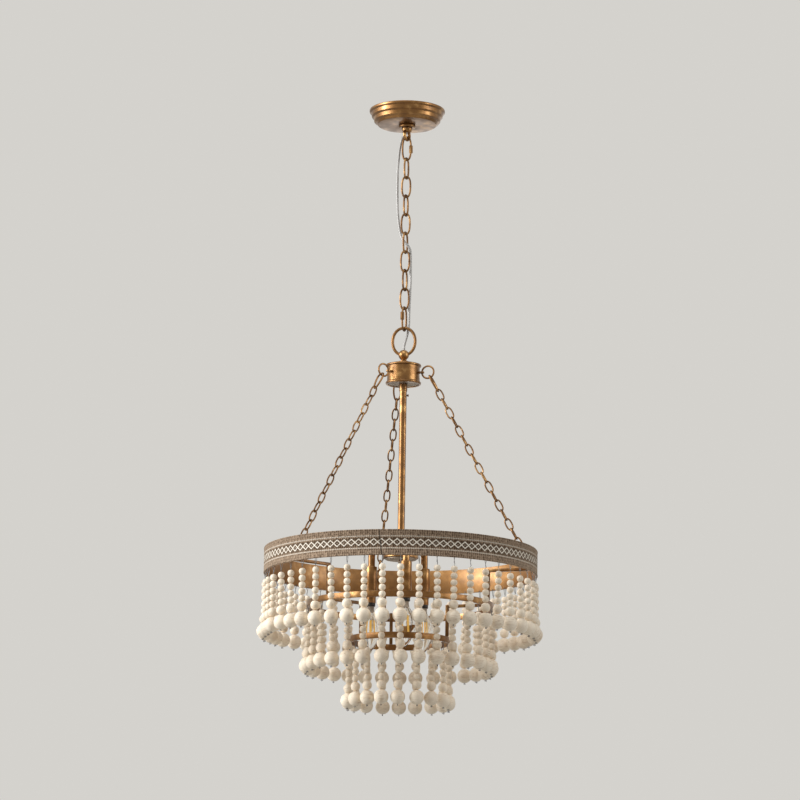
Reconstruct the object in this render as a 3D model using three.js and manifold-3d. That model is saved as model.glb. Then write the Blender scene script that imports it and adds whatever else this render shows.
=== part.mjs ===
// Beaded chandelier: a three-light ceiling pendant whose lamps hang inside a metal band with a woven trim.
// Three tiers of wooden bead strands hang from the band and from two smaller hoops below it.
// The ceiling plane is z = 0, the object hangs down the z axis, and the viewer stands on the -y side.
import * as THREE from 'three';
import { mergeVertices } from 'three/addons/utils/BufferGeometryUtils.js';
import Module from 'manifold-3d';

const wasm = await Module();
wasm.setup();

// Sizes in millimetres
const GAP = 0.3;
const CUT_OVERRUN = 2;

// Ceiling fittings
const CANOPY_DIAMETER = 127;
const CANOPY_HEIGHT = 25.5;
const CANOPY_FACE_DIAMETER = 99;
const CANOPY_WALL = 1.4;
const BRACKET_LENGTH = 104;
const BRACKET_WIDTH = 22;
const BRACKET_THICKNESS = 2.5;
const BRACKET_SLOT_WIDTH = 5;
const BRACKET_SLOT_LENGTH = 16;
const BRACKET_SLOT_SPACING = 70;
const NIPPLE_DIAMETER = 9.6;
const NIPPLE_BORE = 6.8;
const NIPPLE_RECESS = 2.4;
const LOCK_NUT_WIDTH = 15;
const LOCK_NUT_HEIGHT = 4;
const COLLAR_NUT_DIAMETER = 28;
const COLLAR_NUT_HEIGHT = 4.6;
const LOOP_BASE_DIAMETER = 18;
const LOOP_BASE_HEIGHT = 7.8;
const LOOP_WIDTH = 22;
const LOOP_WIRE = 5.4;
const LOOP_DROP = 51;

// Main chain, ring and ball
const PLAIN_LINK_COUNT = 8;
const LINK_WIRE = 3.2;
const LINK_WIDTH = 17.5;
const LINK_LENGTH = 38.85;
const QUICK_LINK_LENGTH = 43.4;
const SLEEVE_DIAMETER = 6.4;
const SLEEVE_LENGTH = 13.4;
const UPPER_SLEEVE_RISE = -1.5;
const LOWER_SLEEVE_RISE = 4;
const RING_WIRE = 5;
const RING_WIDTH = 43;
const RING_HEIGHT = 51;
const BALL_DIAMETER = 17.7;
const BALL_NECK_DIAMETER = 10;
const BALL_NECK_LENGTH = 2.4;
const BALL_FOOT_DIAMETER = 15;
const RIVET_DIAMETER = 5;
const RIVET_HEAD = 0.7;

// Flex woven through the chain
const FLEX_DIAMETER = 4.2;
const FLEX_SOCKET_DEPTH = 3.2;
const FLEX_INSET = 2;

// Hub
const HUB_DIAMETER = 55;
const HUB_LIP_DIAMETER = 59;
const HUB_LIP_HEIGHT = 4.2;
const HUB_DOME_RISE = 4.6;
const HUB_HEIGHT = 34;
const HUB_WAIST_DEPTH = 0.6;
const HUB_EDGE = 1;
const HUB_WALL = 1.8;
const HUB_PLATE_THICKNESS = 1.6;
const LUG_DROP = 15.3;
const LUG_LENGTH = 9;
const LUG_HOLE_REACH = 5.2;
const LUG_WIDTH = 7;
const LUG_THICKNESS = 3;
const LUG_HOLE_DIAMETER = 4.4;

// Side chains
const SIDE_RING_DIAMETER = 23.6;
const SIDE_RING_WIRE = 3;
const LONG_LINK_LENGTH = 34;
const LONG_LINK_WIDTH = 16.2;
const LONG_LINK_WIRE = 3;
const SMALL_LINK_COUNT = 18;
const SMALL_LINK_WIDTH = 12.5;
const SMALL_LINK_WIRE = 2.6;
const CHAIN_CONTACT_DEPTH = 0.35;
const HOOK_WIRE = 3;
const HOOK_DROP = 768;
const HOOK_REACH = 10;
const HOOK_SEAT = 4.5;
const HOOK_TIP_HEIGHT = 4;
const HOOK_RUNNING_GAP = 0.6;

// Rod, light cluster and lamps
const ROD_DIAMETER = 11.8;
const ROD_BORE = 8;
const COUPLING_DIAMETER = 13.6;
const COUPLING_LENGTH = 12;
const SET_SCREW_DIAMETER = 4;
const SET_SCREW_LENGTH = 3;
const SET_SCREW_DROP = 7;
const CLUSTER_TOP_DROP = 739;
const CLUSTER_DIAMETER = 58;
const CLUSTER_HEIGHT = 25.5;
const CLUSTER_COVER_DIAMETER = 51;
const CLUSTER_COVER_THICKNESS = 1.6;
const FINIAL_DIAMETER = 10;
const FINIAL_HEIGHT = 6;
const ARM_DIAMETER = 11.6;
const ARM_BEND_RADIUS = 11;
const ARM_REACH = 51;
const ARM_AXIS_DROP = 8;
const ARM_HEIGHT = 28.5;
const CUP_DIAMETER = 19;
const CUP_HEIGHT = 48;
const CUP_WALL = 1.2;
const CUP_NECK_DIAMETER = 16.4;
const CUP_NECK_HEIGHT = 12.5;
const CUP_SHOULDER = 2;
const HOLDER_DIAMETER = 13.4;
const HOLDER_RIM_DIAMETER = 14.6;
const HOLDER_RIM_HEIGHT = 5.4;
const LAMP_CAP_DIAMETER = 11.6;
const LAMP_CAP_LENGTH = 30;
const LAMP_CAP_SHOWN = 8.6;
const LAMP_DIAMETER = 34;
const LAMP_GLASS_LENGTH = 66;

// Band, hoops and brackets
const BAND_DIAMETER = 450;
const BAND_HEIGHT = 41;
const BAND_TOP_DROP = 751.5;
const BAND_WALL = 2.6;
const TRIM_THICKNESS = 1.6;
const HOOP_WALL = 3.4;
const HOOP_HEIGHT = 10;
const MIDDLE_HOOP_RADIUS = 152;
const INNER_HOOP_RADIUS = 82;
const BRACKET_BAR = 5;
const UPPER_TIER_STEP = 56.3;
const LOWER_TIER_STEP = 57;

// Bead strands
const OUTER_STRAND_COUNT = 48;
const MIDDLE_STRAND_COUNT = 32;
const INNER_STRAND_COUNT = 18;
const STRAND_WIRE = 2;
const STRAND_WIRE_DROP = 13;
const STRAND_SEAT_DEPTH = 7;
const SMALL_BEAD_COUNT = 5;
const SMALL_BEAD = 10.9;
const MEDIUM_BEAD = 15.5;
const BIG_BEAD = 24;

// Directions, in degrees from the front towards +x
const CHAIN_DIRECTIONS = [70, -50, 190];
const LAMP_DIRECTIONS = [10, 130, -110];
// Planes of the links, in degrees from +x
const FACING_LINK_PLANE = -10;
const TURNED_LINK_PLANE = 62;

// Outlines as shares of the sizes that they follow
const CANOPY_OUTLINE_SHARES = [
  // share of the way in from rim to face, share of the height
  [0, 0], [0, 0.15], [0.22, 0.2], [0.27, 0.46], [0.5, 0.52], [0.56, 0.78], [0.84, 0.84], [1, 1],
];
const LAMP_OUTLINE_SHARES = [
  // share of the lamp's radius, share of the glass length
  [0.44, 0.06], [0.86, 0.24], [1, 0.42], [0.88, 0.62], [0.56, 0.82], [0.16, 0.97],
];
const BEAD_HOLE_SHARE = 0.34;
// A bead with few sides is drawn a little wider, so that its mean width is the round bead's
const BEAD_WIDENING_SHARE = 1.12;
const LONG_LINK_TAPER_SHARE = 0.28;
const FLEX_ROUTE_SHARES = [
  // places down the chain, counted in links from the canopy's loop, then shares of a link's width to +x and +y
  [0, -0.263, 0.149], [0.143, -0.411, 0.223], [0.403, -0.526, 0.269], [0.922, -0.663, 0.303],
  [1.446, -0.760, 0.320], [2.036, -0.834, 0.320], [2.822, -0.857, 0.314], [3.608, -0.834, 0.309],
  [4.300, -0.777, 0.297], [4.929, -0.669, 0.286], [5.432, -0.509, 0.251], [5.684, -0.400, 0.177],
  [5.857, -0.217, 0.074], [6, 0, 0.023], [6.156, 0.251, 0.034], [6.376, 0.457, 0.126],
  [6.690, 0.526, 0.217], [7.131, 0.537, 0.274], [7.854, 0.549, 0.280], [8.703, 0.514, 0.257],
  [9.398, 0.469, 0.240], [9.838, 0.451, 0.274], [10.169, 0.446, 0.331], [10.377, 0.411, 0.354],
  [10.636, 0.331, 0.286], [10.870, 0.194, 0.160], [11.130, 0.074, 0.057], [11.370, 0.014, 0.011],
  [11.522, 0, 0],
];
const BALL_BORE_FLARE_SHARE = 0.62;

// Facets
const BAND_SIDES = 48;
const MIDDLE_HOOP_SIDES = 32;
const INNER_HOOP_SIDES = 24;
const ROUND_SIDES = 16;
const TUBE_SIDES = 8;
const STRAND_SIDES = 3;
const NUT_SIDES = 6;
const BALL_ROWS = 8;
const PLATE_ROUND_STEPS = 6;
const LINK_STEPS = 10;
const LINK_SIDES = 6;
const SMALL_LINK_STEPS = 6;
const SMALL_LINK_SIDES = 4;
const RING_STEPS = 14;
const SIDE_RING_STEPS = 10;
const ARM_STEPS = 8;
const HOOK_STEPS = 5;
const FLEX_STEPS = 36;
const FLEX_SIDES = 8;

const HALF_TURN = Math.PI;
const QUARTER_TURN = Math.PI / 2;

const radians = THREE.MathUtils.degToRad;

// Finishes
const finish = (color, roughness, metalness, extra = {}) =>
  new THREE.MeshStandardMaterial({ color, roughness, metalness, ...extra });
const antiqueBrass = finish(0xa8743c, 0.38, 0.9);
const darkBrass = finish(0x6e4a24, 0.45, 0.85);
const paleNickel = finish(0xb9ada0, 0.45, 0.6);
const steel = finish(0x9a9a98, 0.4, 0.9);
const blackPlastic = finish(0x1c1a18, 0.6, 0);
const clearFlex = finish(0xb4b0aa, 0.35, 0.1);
const lampGlass = finish(0xf1ede4, 0.05, 0, { transparent: true, opacity: 0.35 });
const wood = finish(0xe2d5be, 0.6, 0);
const woven = finish(0xc2a988, 0.9, 0);

// Mesh helpers

// One closed surface with shared vertices, no flat triangles and its faces pointing out
function closedSurface(geometry) {
  geometry.deleteAttribute('normal');
  geometry.deleteAttribute('uv');
  const merged = mergeVertices(geometry);
  const position = merged.attributes.position;
  const corners = [];
  const [a, b, c] = [new THREE.Vector3(), new THREE.Vector3(), new THREE.Vector3()];
  let volume = 0;
  for (let i = 0; i < merged.index.count; i += 3) {
    const [p, q, r] = [merged.index.getX(i), merged.index.getX(i + 1), merged.index.getX(i + 2)];
    if (p === q || q === r || r === p) continue;
    corners.push(p, q, r);
    a.fromBufferAttribute(position, p);
    b.fromBufferAttribute(position, q);
    c.fromBufferAttribute(position, r);
    volume += a.dot(b.cross(c));
  }
  if (volume < 0) corners.reverse();
  merged.setIndex(corners);
  return merged;
}

function toSolid(geometry) {
  const surface = closedSurface(geometry);
  return new wasm.Manifold(new wasm.Mesh({
    numProp: 3,
    vertProperties: Float32Array.from(surface.attributes.position.array),
    triVerts: Uint32Array.from(surface.index.array),
  }));
}

function toGeometry(solid) {
  const mesh = solid.getMesh();
  const geometry = new THREE.BufferGeometry();
  geometry.setAttribute('position', new THREE.BufferAttribute(mesh.vertProperties, 3));
  geometry.setIndex(new THREE.BufferAttribute(mesh.triVerts, 1));
  return geometry;
}

// A profile of [radius, z] points turned about the z axis
function turned(profile, sides) {
  const points = profile.map(([radius, z]) => new THREE.Vector2(radius, z));
  return new THREE.LatheGeometry(points, sides).rotateX(QUARTER_TURN);
}

// A washer or tube between two radii and two heights
function tube(outer, inner, top, bottom, sides) {
  return turned([[inner, bottom], [outer, bottom], [outer, top], [inner, top], [inner, bottom]], sides);
}

function rod(radius, top, bottom, sides) {
  return turned([[0, bottom], [radius, bottom], [radius, top], [0, top]], sides);
}

// A chain link in the xz plane: a round ring drawn out to its length, wider at the top if it tapers
function link(width, length, wire, steps, sides, taperShare = 0) {
  const radius = (width - wire) / 2;
  const halfStep = HALF_TURN / steps;
  const ring = new THREE.TorusGeometry(radius, wire / 2, sides, steps).rotateZ(halfStep);
  const position = ring.attributes.position;
  for (let i = 0; i < position.count; i += 1) {
    const side = Math.sign(position.getY(i));
    const height = position.getY(i) + side * (length - width) / 2;
    const widening = (1 + taperShare * height / (length / 2)) / Math.cos(halfStep);
    position.setX(i, position.getX(i) * widening);
    position.setY(i, height);
  }
  return ring.rotateX(QUARTER_TURN);
}

const chandelier = new THREE.Group();

// A branch that stands at a direction: its own x axis points out and its y axis along the round
function branch(direction) {
  const group = new THREE.Group();
  group.rotation.z = radians(direction) - QUARTER_TURN;
  chandelier.add(group);
  return group;
}

function piece(name, geometry, material, parent = chandelier) {
  const mesh = new THREE.Mesh(closedSurface(geometry), material);
  mesh.name = name;
  parent.add(mesh);
  return mesh;
}

// A round bar along a curve
function bar(curve, diameter, steps, sides) {
  const corners = Array.from({ length: sides }, (_, i) => {
    const angle = 2 * HALF_TURN * i / sides;
    return new THREE.Vector2(Math.cos(angle), Math.sin(angle)).multiplyScalar(diameter / 2);
  });
  return new THREE.ExtrudeGeometry(new THREE.Shape(corners), { steps, extrudePath: curve });
}

function plate(shape, thickness, curveSegments = PLATE_ROUND_STEPS) {
  return new THREE.ExtrudeGeometry(shape, { depth: thickness, bevelEnabled: false, curveSegments });
}

function roundHole(x, radius) {
  return new THREE.Path().absarc(x, 0, radius, 0, 2 * HALF_TURN, true);
}

// The distance from the axis to the middle of a flat of a round form with this many sides
const acrossFlat = (radius, sides) => radius * Math.cos(HALF_TURN / sides);

// Ceiling fittings
const nippleHole = NIPPLE_DIAMETER / 2 + GAP;
const collarTop = -CANOPY_HEIGHT - GAP;
const collarBottom = collarTop - COLLAR_NUT_HEIGHT;
const loopBaseTop = collarBottom - GAP;
const loopBaseBottom = loopBaseTop - LOOP_BASE_HEIGHT;
const nippleBottom = loopBaseBottom + NIPPLE_RECESS;
const loopCentre = -LOOP_DROP + (LOOP_WIDTH - LOOP_WIRE) / 2;

function ceilingBracket() {
  const [x, y] = [BRACKET_LENGTH / 2, BRACKET_WIDTH / 2];
  const outline = new THREE.Shape([[-x, -y], [x, -y], [x, y], [-x, y]].map((p) => new THREE.Vector2(...p)));
  outline.holes.push(roundHole(0, nippleHole));
  for (const side of [-1, 1]) {
    const centre = side * BRACKET_SLOT_SPACING / 2;
    const half = (BRACKET_SLOT_LENGTH - BRACKET_SLOT_WIDTH) / 2;
    outline.holes.push(new THREE.Path()
      .absarc(centre + half, 0, BRACKET_SLOT_WIDTH / 2, -QUARTER_TURN, QUARTER_TURN, false)
      .absarc(centre - half, 0, BRACKET_SLOT_WIDTH / 2, QUARTER_TURN, -QUARTER_TURN, false));
  }
  return plate(outline, BRACKET_THICKNESS).translate(0, 0, -BRACKET_THICKNESS);
}

function lockNut() {
  const corner = LOCK_NUT_WIDTH / 2 / Math.cos(HALF_TURN / NUT_SIDES);
  const outline = new THREE.Shape(Array.from({ length: NUT_SIDES }, (_, i) => {
    const angle = 2 * HALF_TURN * i / NUT_SIDES;
    return new THREE.Vector2(Math.cos(angle), Math.sin(angle)).multiplyScalar(corner);
  }));
  outline.holes.push(roundHole(0, nippleHole));
  return plate(outline, LOCK_NUT_HEIGHT).translate(0, 0, -BRACKET_THICKNESS - GAP - LOCK_NUT_HEIGHT);
}

function canopyCover() {
  const rim = CANOPY_DIAMETER / 2;
  const stepIn = rim - CANOPY_FACE_DIAMETER / 2;
  const outside = CANOPY_OUTLINE_SHARES.map(([inward, down]) => [rim - inward * stepIn, -down * CANOPY_HEIGHT]);
  const inside = outside.map(([radius, z]) => [radius - CANOPY_WALL, Math.min(0, z + CANOPY_WALL)]);
  const hole = [[nippleHole, -CANOPY_HEIGHT], [nippleHole, CANOPY_WALL - CANOPY_HEIGHT]];
  const back = [...inside.slice(1).reverse(), [rim - CANOPY_WALL, 0], outside[0]];
  return turned([...outside, ...hole, ...back], ROUND_SIDES);
}

function canopyLoop() {
  const base = toSolid(rod(LOOP_BASE_DIAMETER / 2, loopBaseTop, loopBaseBottom, ROUND_SIDES));
  const ring = link(LOOP_WIDTH, LOOP_WIDTH, LOOP_WIRE, RING_STEPS, LINK_SIDES);
  ring.rotateZ(radians(TURNED_LINK_PLANE)).translate(0, 0, loopCentre);
  const bore = rod(nippleHole, loopBaseTop + CUT_OVERRUN, loopBaseBottom, ROUND_SIDES);
  return toGeometry(base.add(toSolid(ring)).subtract(toSolid(bore)));
}

piece('ceiling_bracket', ceilingBracket(), steel);
piece('threaded_nipple', tube(NIPPLE_DIAMETER / 2, NIPPLE_BORE / 2, -GAP, nippleBottom, ROUND_SIDES), steel);
piece('lock_nut', lockNut(), steel);
piece('canopy_cover', canopyCover(), antiqueBrass);
piece('collar_nut', tube(COLLAR_NUT_DIAMETER / 2, nippleHole, collarTop, collarBottom, ROUND_SIDES),
  antiqueBrass);
piece('canopy_loop', canopyLoop(), antiqueBrass);

// Main chain: each link's top wire rests on the bottom wire of the one above
let support = { z: -LOOP_DROP, wire: LOOP_WIRE };

function hang(name, geometry, length, wire, plane, material) {
  const top = support.z + (support.wire + wire) / 2 + GAP;
  const bottom = top - (length - wire);
  const mesh = piece(name, geometry, material);
  mesh.position.z = (top + bottom) / 2;
  mesh.rotation.z = radians(plane);
  support = { z: bottom, wire };
  return mesh;
}

function quickLinkSleeve(name, linkMesh, side, rise) {
  const half = SLEEVE_LENGTH / 2;
  const sleeve = tube(SLEEVE_DIAMETER / 2, LINK_WIRE / 2 + GAP, half, -half, TUBE_SIDES);
  const mesh = piece(name, sleeve, antiqueBrass);
  const offset = side * (LINK_WIDTH - LINK_WIRE) / 2;
  const plane = linkMesh.rotation.z;
  mesh.position.set(offset * Math.cos(plane), offset * Math.sin(plane), linkMesh.position.z + rise);
}

const linkTotal = PLAIN_LINK_COUNT + 2;
const chainLinks = [];
for (let i = 1; i <= linkTotal; i += 1) {
  const quick = i === 1 || i === linkTotal;
  const length = quick ? QUICK_LINK_LENGTH : LINK_LENGTH;
  const plane = i % 2 === 1 ? FACING_LINK_PLANE : TURNED_LINK_PLANE;
  const name = quick ? `quick_link_${i === 1 ? 'upper' : 'lower'}` : `chain_link_${i}`;
  const shape = link(LINK_WIDTH, length, LINK_WIRE, LINK_STEPS, LINK_SIDES);
  chainLinks.push(hang(name, shape, length, LINK_WIRE, plane, i % 2 === 1 ? antiqueBrass : darkBrass));
}
quickLinkSleeve('quick_link_sleeve_upper', chainLinks[0], 1, UPPER_SLEEVE_RISE);
quickLinkSleeve('quick_link_sleeve_lower', chainLinks[linkTotal - 1], -1, LOWER_SLEEVE_RISE);

const topRing = hang('top_ring', link(RING_WIDTH, RING_HEIGHT, RING_WIRE, RING_STEPS, LINK_SIDES), RING_HEIGHT,
  RING_WIRE, FACING_LINK_PLANE, antiqueBrass);

// Ball clasp: drilled through for the big ring with a flared bore, and from the top for the flex
const ballZ = support.z;
const ballFoot = ballZ - BALL_DIAMETER / 2 - BALL_NECK_LENGTH;
const flexEnd = ballZ + BALL_DIAMETER / 2 - FLEX_SOCKET_DEPTH;

function ballClasp() {
  const radius = BALL_DIAMETER / 2;
  const neck = BALL_NECK_DIAMETER / 2;
  const neckAngle = Math.acos(neck / radius);
  const ball = Array.from({ length: BALL_ROWS + 1 }, (_, i) => {
    const angle = QUARTER_TURN - (QUARTER_TURN + neckAngle) * i / BALL_ROWS;
    return [radius * Math.cos(angle), ballZ + radius * Math.sin(angle)];
  });
  ball[0][0] = 0;
  const neckEnd = ballFoot + BALL_NECK_LENGTH;
  const foot = [[BALL_FOOT_DIAMETER / 2, ballFoot], [0, ballFoot]];
  const body = turned([...ball, [neck, neckEnd], ...foot], TUBE_SIDES);
  const waist = RING_WIRE / 2 + GAP;
  const mouth = radius * BALL_BORE_FLARE_SHARE + waist / 2;
  const reach = radius + CUT_OVERRUN;
  const bore = turned([[0, -reach], [mouth, -reach], [waist, 0], [mouth, reach], [0, reach]], TUBE_SIDES)
    .rotateY(QUARTER_TURN).rotateZ(radians(FACING_LINK_PLANE)).translate(0, 0, ballZ);
  const socketTop = ballZ + radius + CUT_OVERRUN;
  const socket = rod(FLEX_DIAMETER / 2 + 2 * GAP, socketTop, flexEnd - GAP, FLEX_SIDES);
  const rivet = rod(RIVET_DIAMETER / 2, radius + RIVET_HEAD, radius - CUT_OVERRUN, FLEX_SIDES)
    .rotateX(QUARTER_TURN).rotateZ(radians(FACING_LINK_PLANE)).translate(0, 0, ballZ);
  return toGeometry(toSolid(body).add(toSolid(rivet)).subtract(toSolid(bore)).subtract(toSolid(socket)));
}

piece('ball_clasp', ballClasp(), antiqueBrass);

// Flex: down through the nipple, left of the chain, through the sixth link, then right and into the ball
const chainLevels = [loopCentre, ...chainLinks.map((mesh) => mesh.position.z), topRing.position.z, ballZ];

function chainLevel(place) {
  const above = Math.min(Math.floor(place), chainLevels.length - 2);
  return THREE.MathUtils.lerp(chainLevels[above], chainLevels[above + 1], place - above);
}

const flexRoute = FLEX_ROUTE_SHARES.map(([place, across, back]) =>
  new THREE.Vector3(across * LINK_WIDTH, back * LINK_WIDTH, chainLevel(place)));
const flexStart = [-FLEX_INSET, nippleBottom / 2, nippleBottom].map((z) => new THREE.Vector3(0, 0, z));
const flexStop = [flexEnd + FLEX_SOCKET_DEPTH, flexEnd].map((z) => new THREE.Vector3(0, 0, z));
const flexCurve = new THREE.CatmullRomCurve3([...flexStart, ...flexRoute, ...flexStop], false, 'centripetal');
piece('flex_cord', bar(flexCurve, FLEX_DIAMETER, FLEX_STEPS, FLEX_SIDES), clearFlex);

// Hub
const hubRadius = HUB_DIAMETER / 2;
const hubLipRadius = HUB_LIP_DIAMETER / 2;
const capTop = ballFoot - GAP;
const lipTop = capTop - HUB_DOME_RISE;
const lipBottom = lipTop - HUB_LIP_HEIGHT;
const drumTop = lipTop - HUB_WALL - GAP;
const hubBottom = lipTop - HUB_HEIGHT;
const plateBottom = hubBottom + HUB_EDGE;
const lugZ = lipTop - LUG_DROP;
const lugHoleRadius = hubRadius + LUG_HOLE_REACH;

function hubCap() {
  const foot = BALL_FOOT_DIAMETER / 2;
  return turned([
    [0, capTop], [foot, capTop], [hubRadius, lipTop],
    [hubLipRadius, lipTop - HUB_EDGE], [hubLipRadius, lipBottom],
    [hubRadius + GAP, lipBottom], [hubRadius + GAP, drumTop + GAP],
    [foot, capTop - HUB_WALL], [0, capTop - HUB_WALL],
  ], ROUND_SIDES);
}

function lug(direction) {
  const tip = hubRadius + LUG_LENGTH - LUG_WIDTH / 2;
  const root = hubRadius - HUB_WALL / 2 - HUB_WAIST_DEPTH;
  const outline = new THREE.Shape().moveTo(root, -LUG_WIDTH / 2).lineTo(tip, -LUG_WIDTH / 2)
    .absarc(tip, 0, LUG_WIDTH / 2, -QUARTER_TURN, QUARTER_TURN, false).lineTo(root, LUG_WIDTH / 2);
  outline.holes.push(roundHole(lugHoleRadius, LUG_HOLE_DIAMETER / 2));
  return plate(outline, LUG_THICKNESS).translate(0, 0, lugZ - LUG_THICKNESS / 2)
    .rotateZ(radians(direction) - QUARTER_TURN);
}

function hubDrum() {
  const inner = hubRadius - HUB_WALL;
  const beadTop = hubBottom + HUB_LIP_HEIGHT;
  const drum = turned([
    [hubRadius, drumTop], [hubRadius, lipBottom], [hubRadius - HUB_WAIST_DEPTH, (lipBottom + beadTop) / 2],
    [hubRadius, beadTop], [hubLipRadius, beadTop - HUB_EDGE], [hubLipRadius, hubBottom + HUB_EDGE],
    [hubLipRadius - HUB_EDGE, hubBottom], [inner, hubBottom], [inner, drumTop], [hubRadius, drumTop],
  ], ROUND_SIDES);
  return toGeometry(CHAIN_DIRECTIONS.reduce((solid, way) => solid.add(toSolid(lug(way))), toSolid(drum)));
}

piece('hub_cap', hubCap(), antiqueBrass);
piece('hub_drum', hubDrum(), antiqueBrass);
piece('hub_plate', rod(hubRadius - HUB_WALL - GAP, plateBottom + HUB_PLATE_THICKNESS, plateBottom, ROUND_SIDES),
  paleNickel);

// Centre rod and its fittings
const rodTop = plateBottom - GAP;
const rodBottom = -CLUSTER_TOP_DROP + GAP;
piece('centre_rod', tube(ROD_DIAMETER / 2, ROD_BORE / 2, rodTop, rodBottom, TUBE_SIDES), antiqueBrass);
const couplingBottom = rodTop - COUPLING_LENGTH;
piece('rod_coupling', tube(COUPLING_DIAMETER / 2, ROD_DIAMETER / 2 + GAP, rodTop, couplingBottom, TUBE_SIDES),
  antiqueBrass);
const setScrew = piece('set_screw', rod(SET_SCREW_DIAMETER / 2, SET_SCREW_LENGTH, 0, FLEX_SIDES), darkBrass);
setScrew.rotation.y = QUARTER_TURN;
setScrew.position.set(ROD_DIAMETER / 2 + GAP, 0, couplingBottom - SET_SCREW_DROP);

// Light cluster
const clusterBottom = -CLUSTER_TOP_DROP - CLUSTER_HEIGHT;
const clusterRadius = CLUSTER_DIAMETER / 2;
const coverTop = clusterBottom - GAP;
const coverBottom = coverTop - CLUSTER_COVER_THICKNESS;

piece('cluster_body', turned([
  [0, -CLUSTER_TOP_DROP], [clusterRadius - HUB_LIP_HEIGHT, -CLUSTER_TOP_DROP],
  [clusterRadius, -CLUSTER_TOP_DROP - HUB_LIP_HEIGHT], [clusterRadius, clusterBottom + HUB_EDGE],
  [clusterRadius - HUB_EDGE, clusterBottom], [0, clusterBottom],
], ROUND_SIDES), antiqueBrass);
piece('cluster_cover', turned([
  [0, coverTop], [CLUSTER_COVER_DIAMETER / 2, coverTop], [CLUSTER_COVER_DIAMETER / 2, coverBottom],
  [FINIAL_DIAMETER / 2, coverBottom], [FINIAL_DIAMETER / 2, coverBottom - FINIAL_HEIGHT],
  [0, coverBottom - FINIAL_HEIGHT],
], ROUND_SIDES), paleNickel);

const armZ = -CLUSTER_TOP_DROP - ARM_AXIS_DROP;
const armEnd = armZ - ARM_HEIGHT;
const cupTop = armEnd - GAP;
const cupShoulder = cupTop - CUP_HEIGHT;
const cupBottom = cupShoulder - CUP_NECK_HEIGHT;
const rimTop = cupBottom - GAP;
const rimBottom = rimTop - HOLDER_RIM_HEIGHT;
const glassTop = rimBottom - LAMP_CAP_SHOWN;
const lampCapTop = glassTop + LAMP_CAP_LENGTH;

function arm() {
  const start = new THREE.Vector3(clusterRadius + GAP, 0, armZ);
  const bendStart = new THREE.Vector3(ARM_REACH - ARM_BEND_RADIUS, 0, armZ);
  const bendCorner = new THREE.Vector3(ARM_REACH, 0, armZ);
  const bendEnd = new THREE.Vector3(ARM_REACH, 0, armZ - ARM_BEND_RADIUS);
  const end = new THREE.Vector3(ARM_REACH, 0, armEnd);
  const path = new THREE.CurvePath();
  path.add(new THREE.LineCurve3(start, bendStart));
  path.add(new THREE.QuadraticBezierCurve3(bendStart, bendCorner, bendEnd));
  path.add(new THREE.LineCurve3(bendEnd, end));
  return bar(path, ARM_DIAMETER, ARM_STEPS, FLEX_SIDES);
}

function socketCup() {
  const [outer, neck] = [CUP_DIAMETER / 2, CUP_NECK_DIAMETER / 2];
  const inner = neck - CUP_WALL;
  return turned([
    [0, cupTop], [outer - CUP_WALL, cupTop], [outer, cupTop - CUP_WALL], [outer, cupShoulder],
    [neck, cupShoulder - CUP_SHOULDER], [neck, cupBottom], [inner, cupBottom],
    [inner, cupTop - CUP_WALL], [0, cupTop - CUP_WALL],
  ], TUBE_SIDES);
}

function lampHolder() {
  const top = cupTop - CUP_WALL - GAP;
  const bore = LAMP_CAP_DIAMETER / 2 + GAP;
  return turned([
    [0, top], [HOLDER_DIAMETER / 2, top], [HOLDER_DIAMETER / 2, rimTop], [HOLDER_RIM_DIAMETER / 2, rimTop],
    [HOLDER_RIM_DIAMETER / 2, rimBottom], [bore, rimBottom], [bore, lampCapTop + GAP], [0, lampCapTop + GAP],
  ], TUBE_SIDES);
}

function lamp() {
  const cap = LAMP_CAP_DIAMETER / 2;
  const glass = LAMP_OUTLINE_SHARES.map(([wide, down]) =>
    [wide * LAMP_DIAMETER / 2, glassTop - down * LAMP_GLASS_LENGTH]);
  const tip = [0, glassTop - LAMP_GLASS_LENGTH];
  return turned([[0, lampCapTop], [cap, lampCapTop], [cap, glassTop], ...glass, tip], TUBE_SIDES);
}

LAMP_DIRECTIONS.forEach((direction, i) => {
  const side = branch(direction);
  piece(`arm_${i + 1}`, arm(), antiqueBrass, side);
  piece(`socket_cup_${i + 1}`, socketCup(), antiqueBrass, side).position.x = ARM_REACH;
  piece(`lamp_holder_${i + 1}`, lampHolder(), blackPlastic, side).position.x = ARM_REACH;
  piece(`lamp_${i + 1}`, lamp(), lampGlass, side).position.x = ARM_REACH;
});

// Band, trim and hoops with their strands
const bandBottom = -BAND_TOP_DROP - BAND_HEIGHT;
const bandOuter = BAND_DIAMETER / 2 - TRIM_THICKNESS - GAP;
const bandInner = bandOuter - BAND_WALL;
const hookWall = acrossFlat(bandInner, BAND_SIDES);
const hookSeat = hookWall - HOOK_SEAT;

// A string of beads on its wire, hung at a radius from a hoop's lower edge, a turn away from the front
function strand(radius, hoopBottom, turn) {
  const wire = STRAND_WIRE / 2;
  let z = hoopBottom - STRAND_WIRE_DROP;
  const outline = [[0, hoopBottom + STRAND_SEAT_DEPTH], [wire, z]];
  const hole = SMALL_BEAD / 2 * BEAD_HOLE_SHARE;
  const widened = BEAD_WIDENING_SHARE / 2;
  for (let i = 0; i < SMALL_BEAD_COUNT; i += 1) {
    outline.push([SMALL_BEAD * widened, z - SMALL_BEAD / 2], [hole, z - SMALL_BEAD]);
    z -= SMALL_BEAD;
  }
  outline.push([MEDIUM_BEAD * widened, z - MEDIUM_BEAD / 2], [hole, z - MEDIUM_BEAD]);
  z -= MEDIUM_BEAD;
  outline.push([BIG_BEAD * widened, z - BIG_BEAD / 2], [0, z - BIG_BEAD]);
  return turned(outline, STRAND_SIDES).translate(0, -radius, 0).rotateZ(turn);
}

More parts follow.
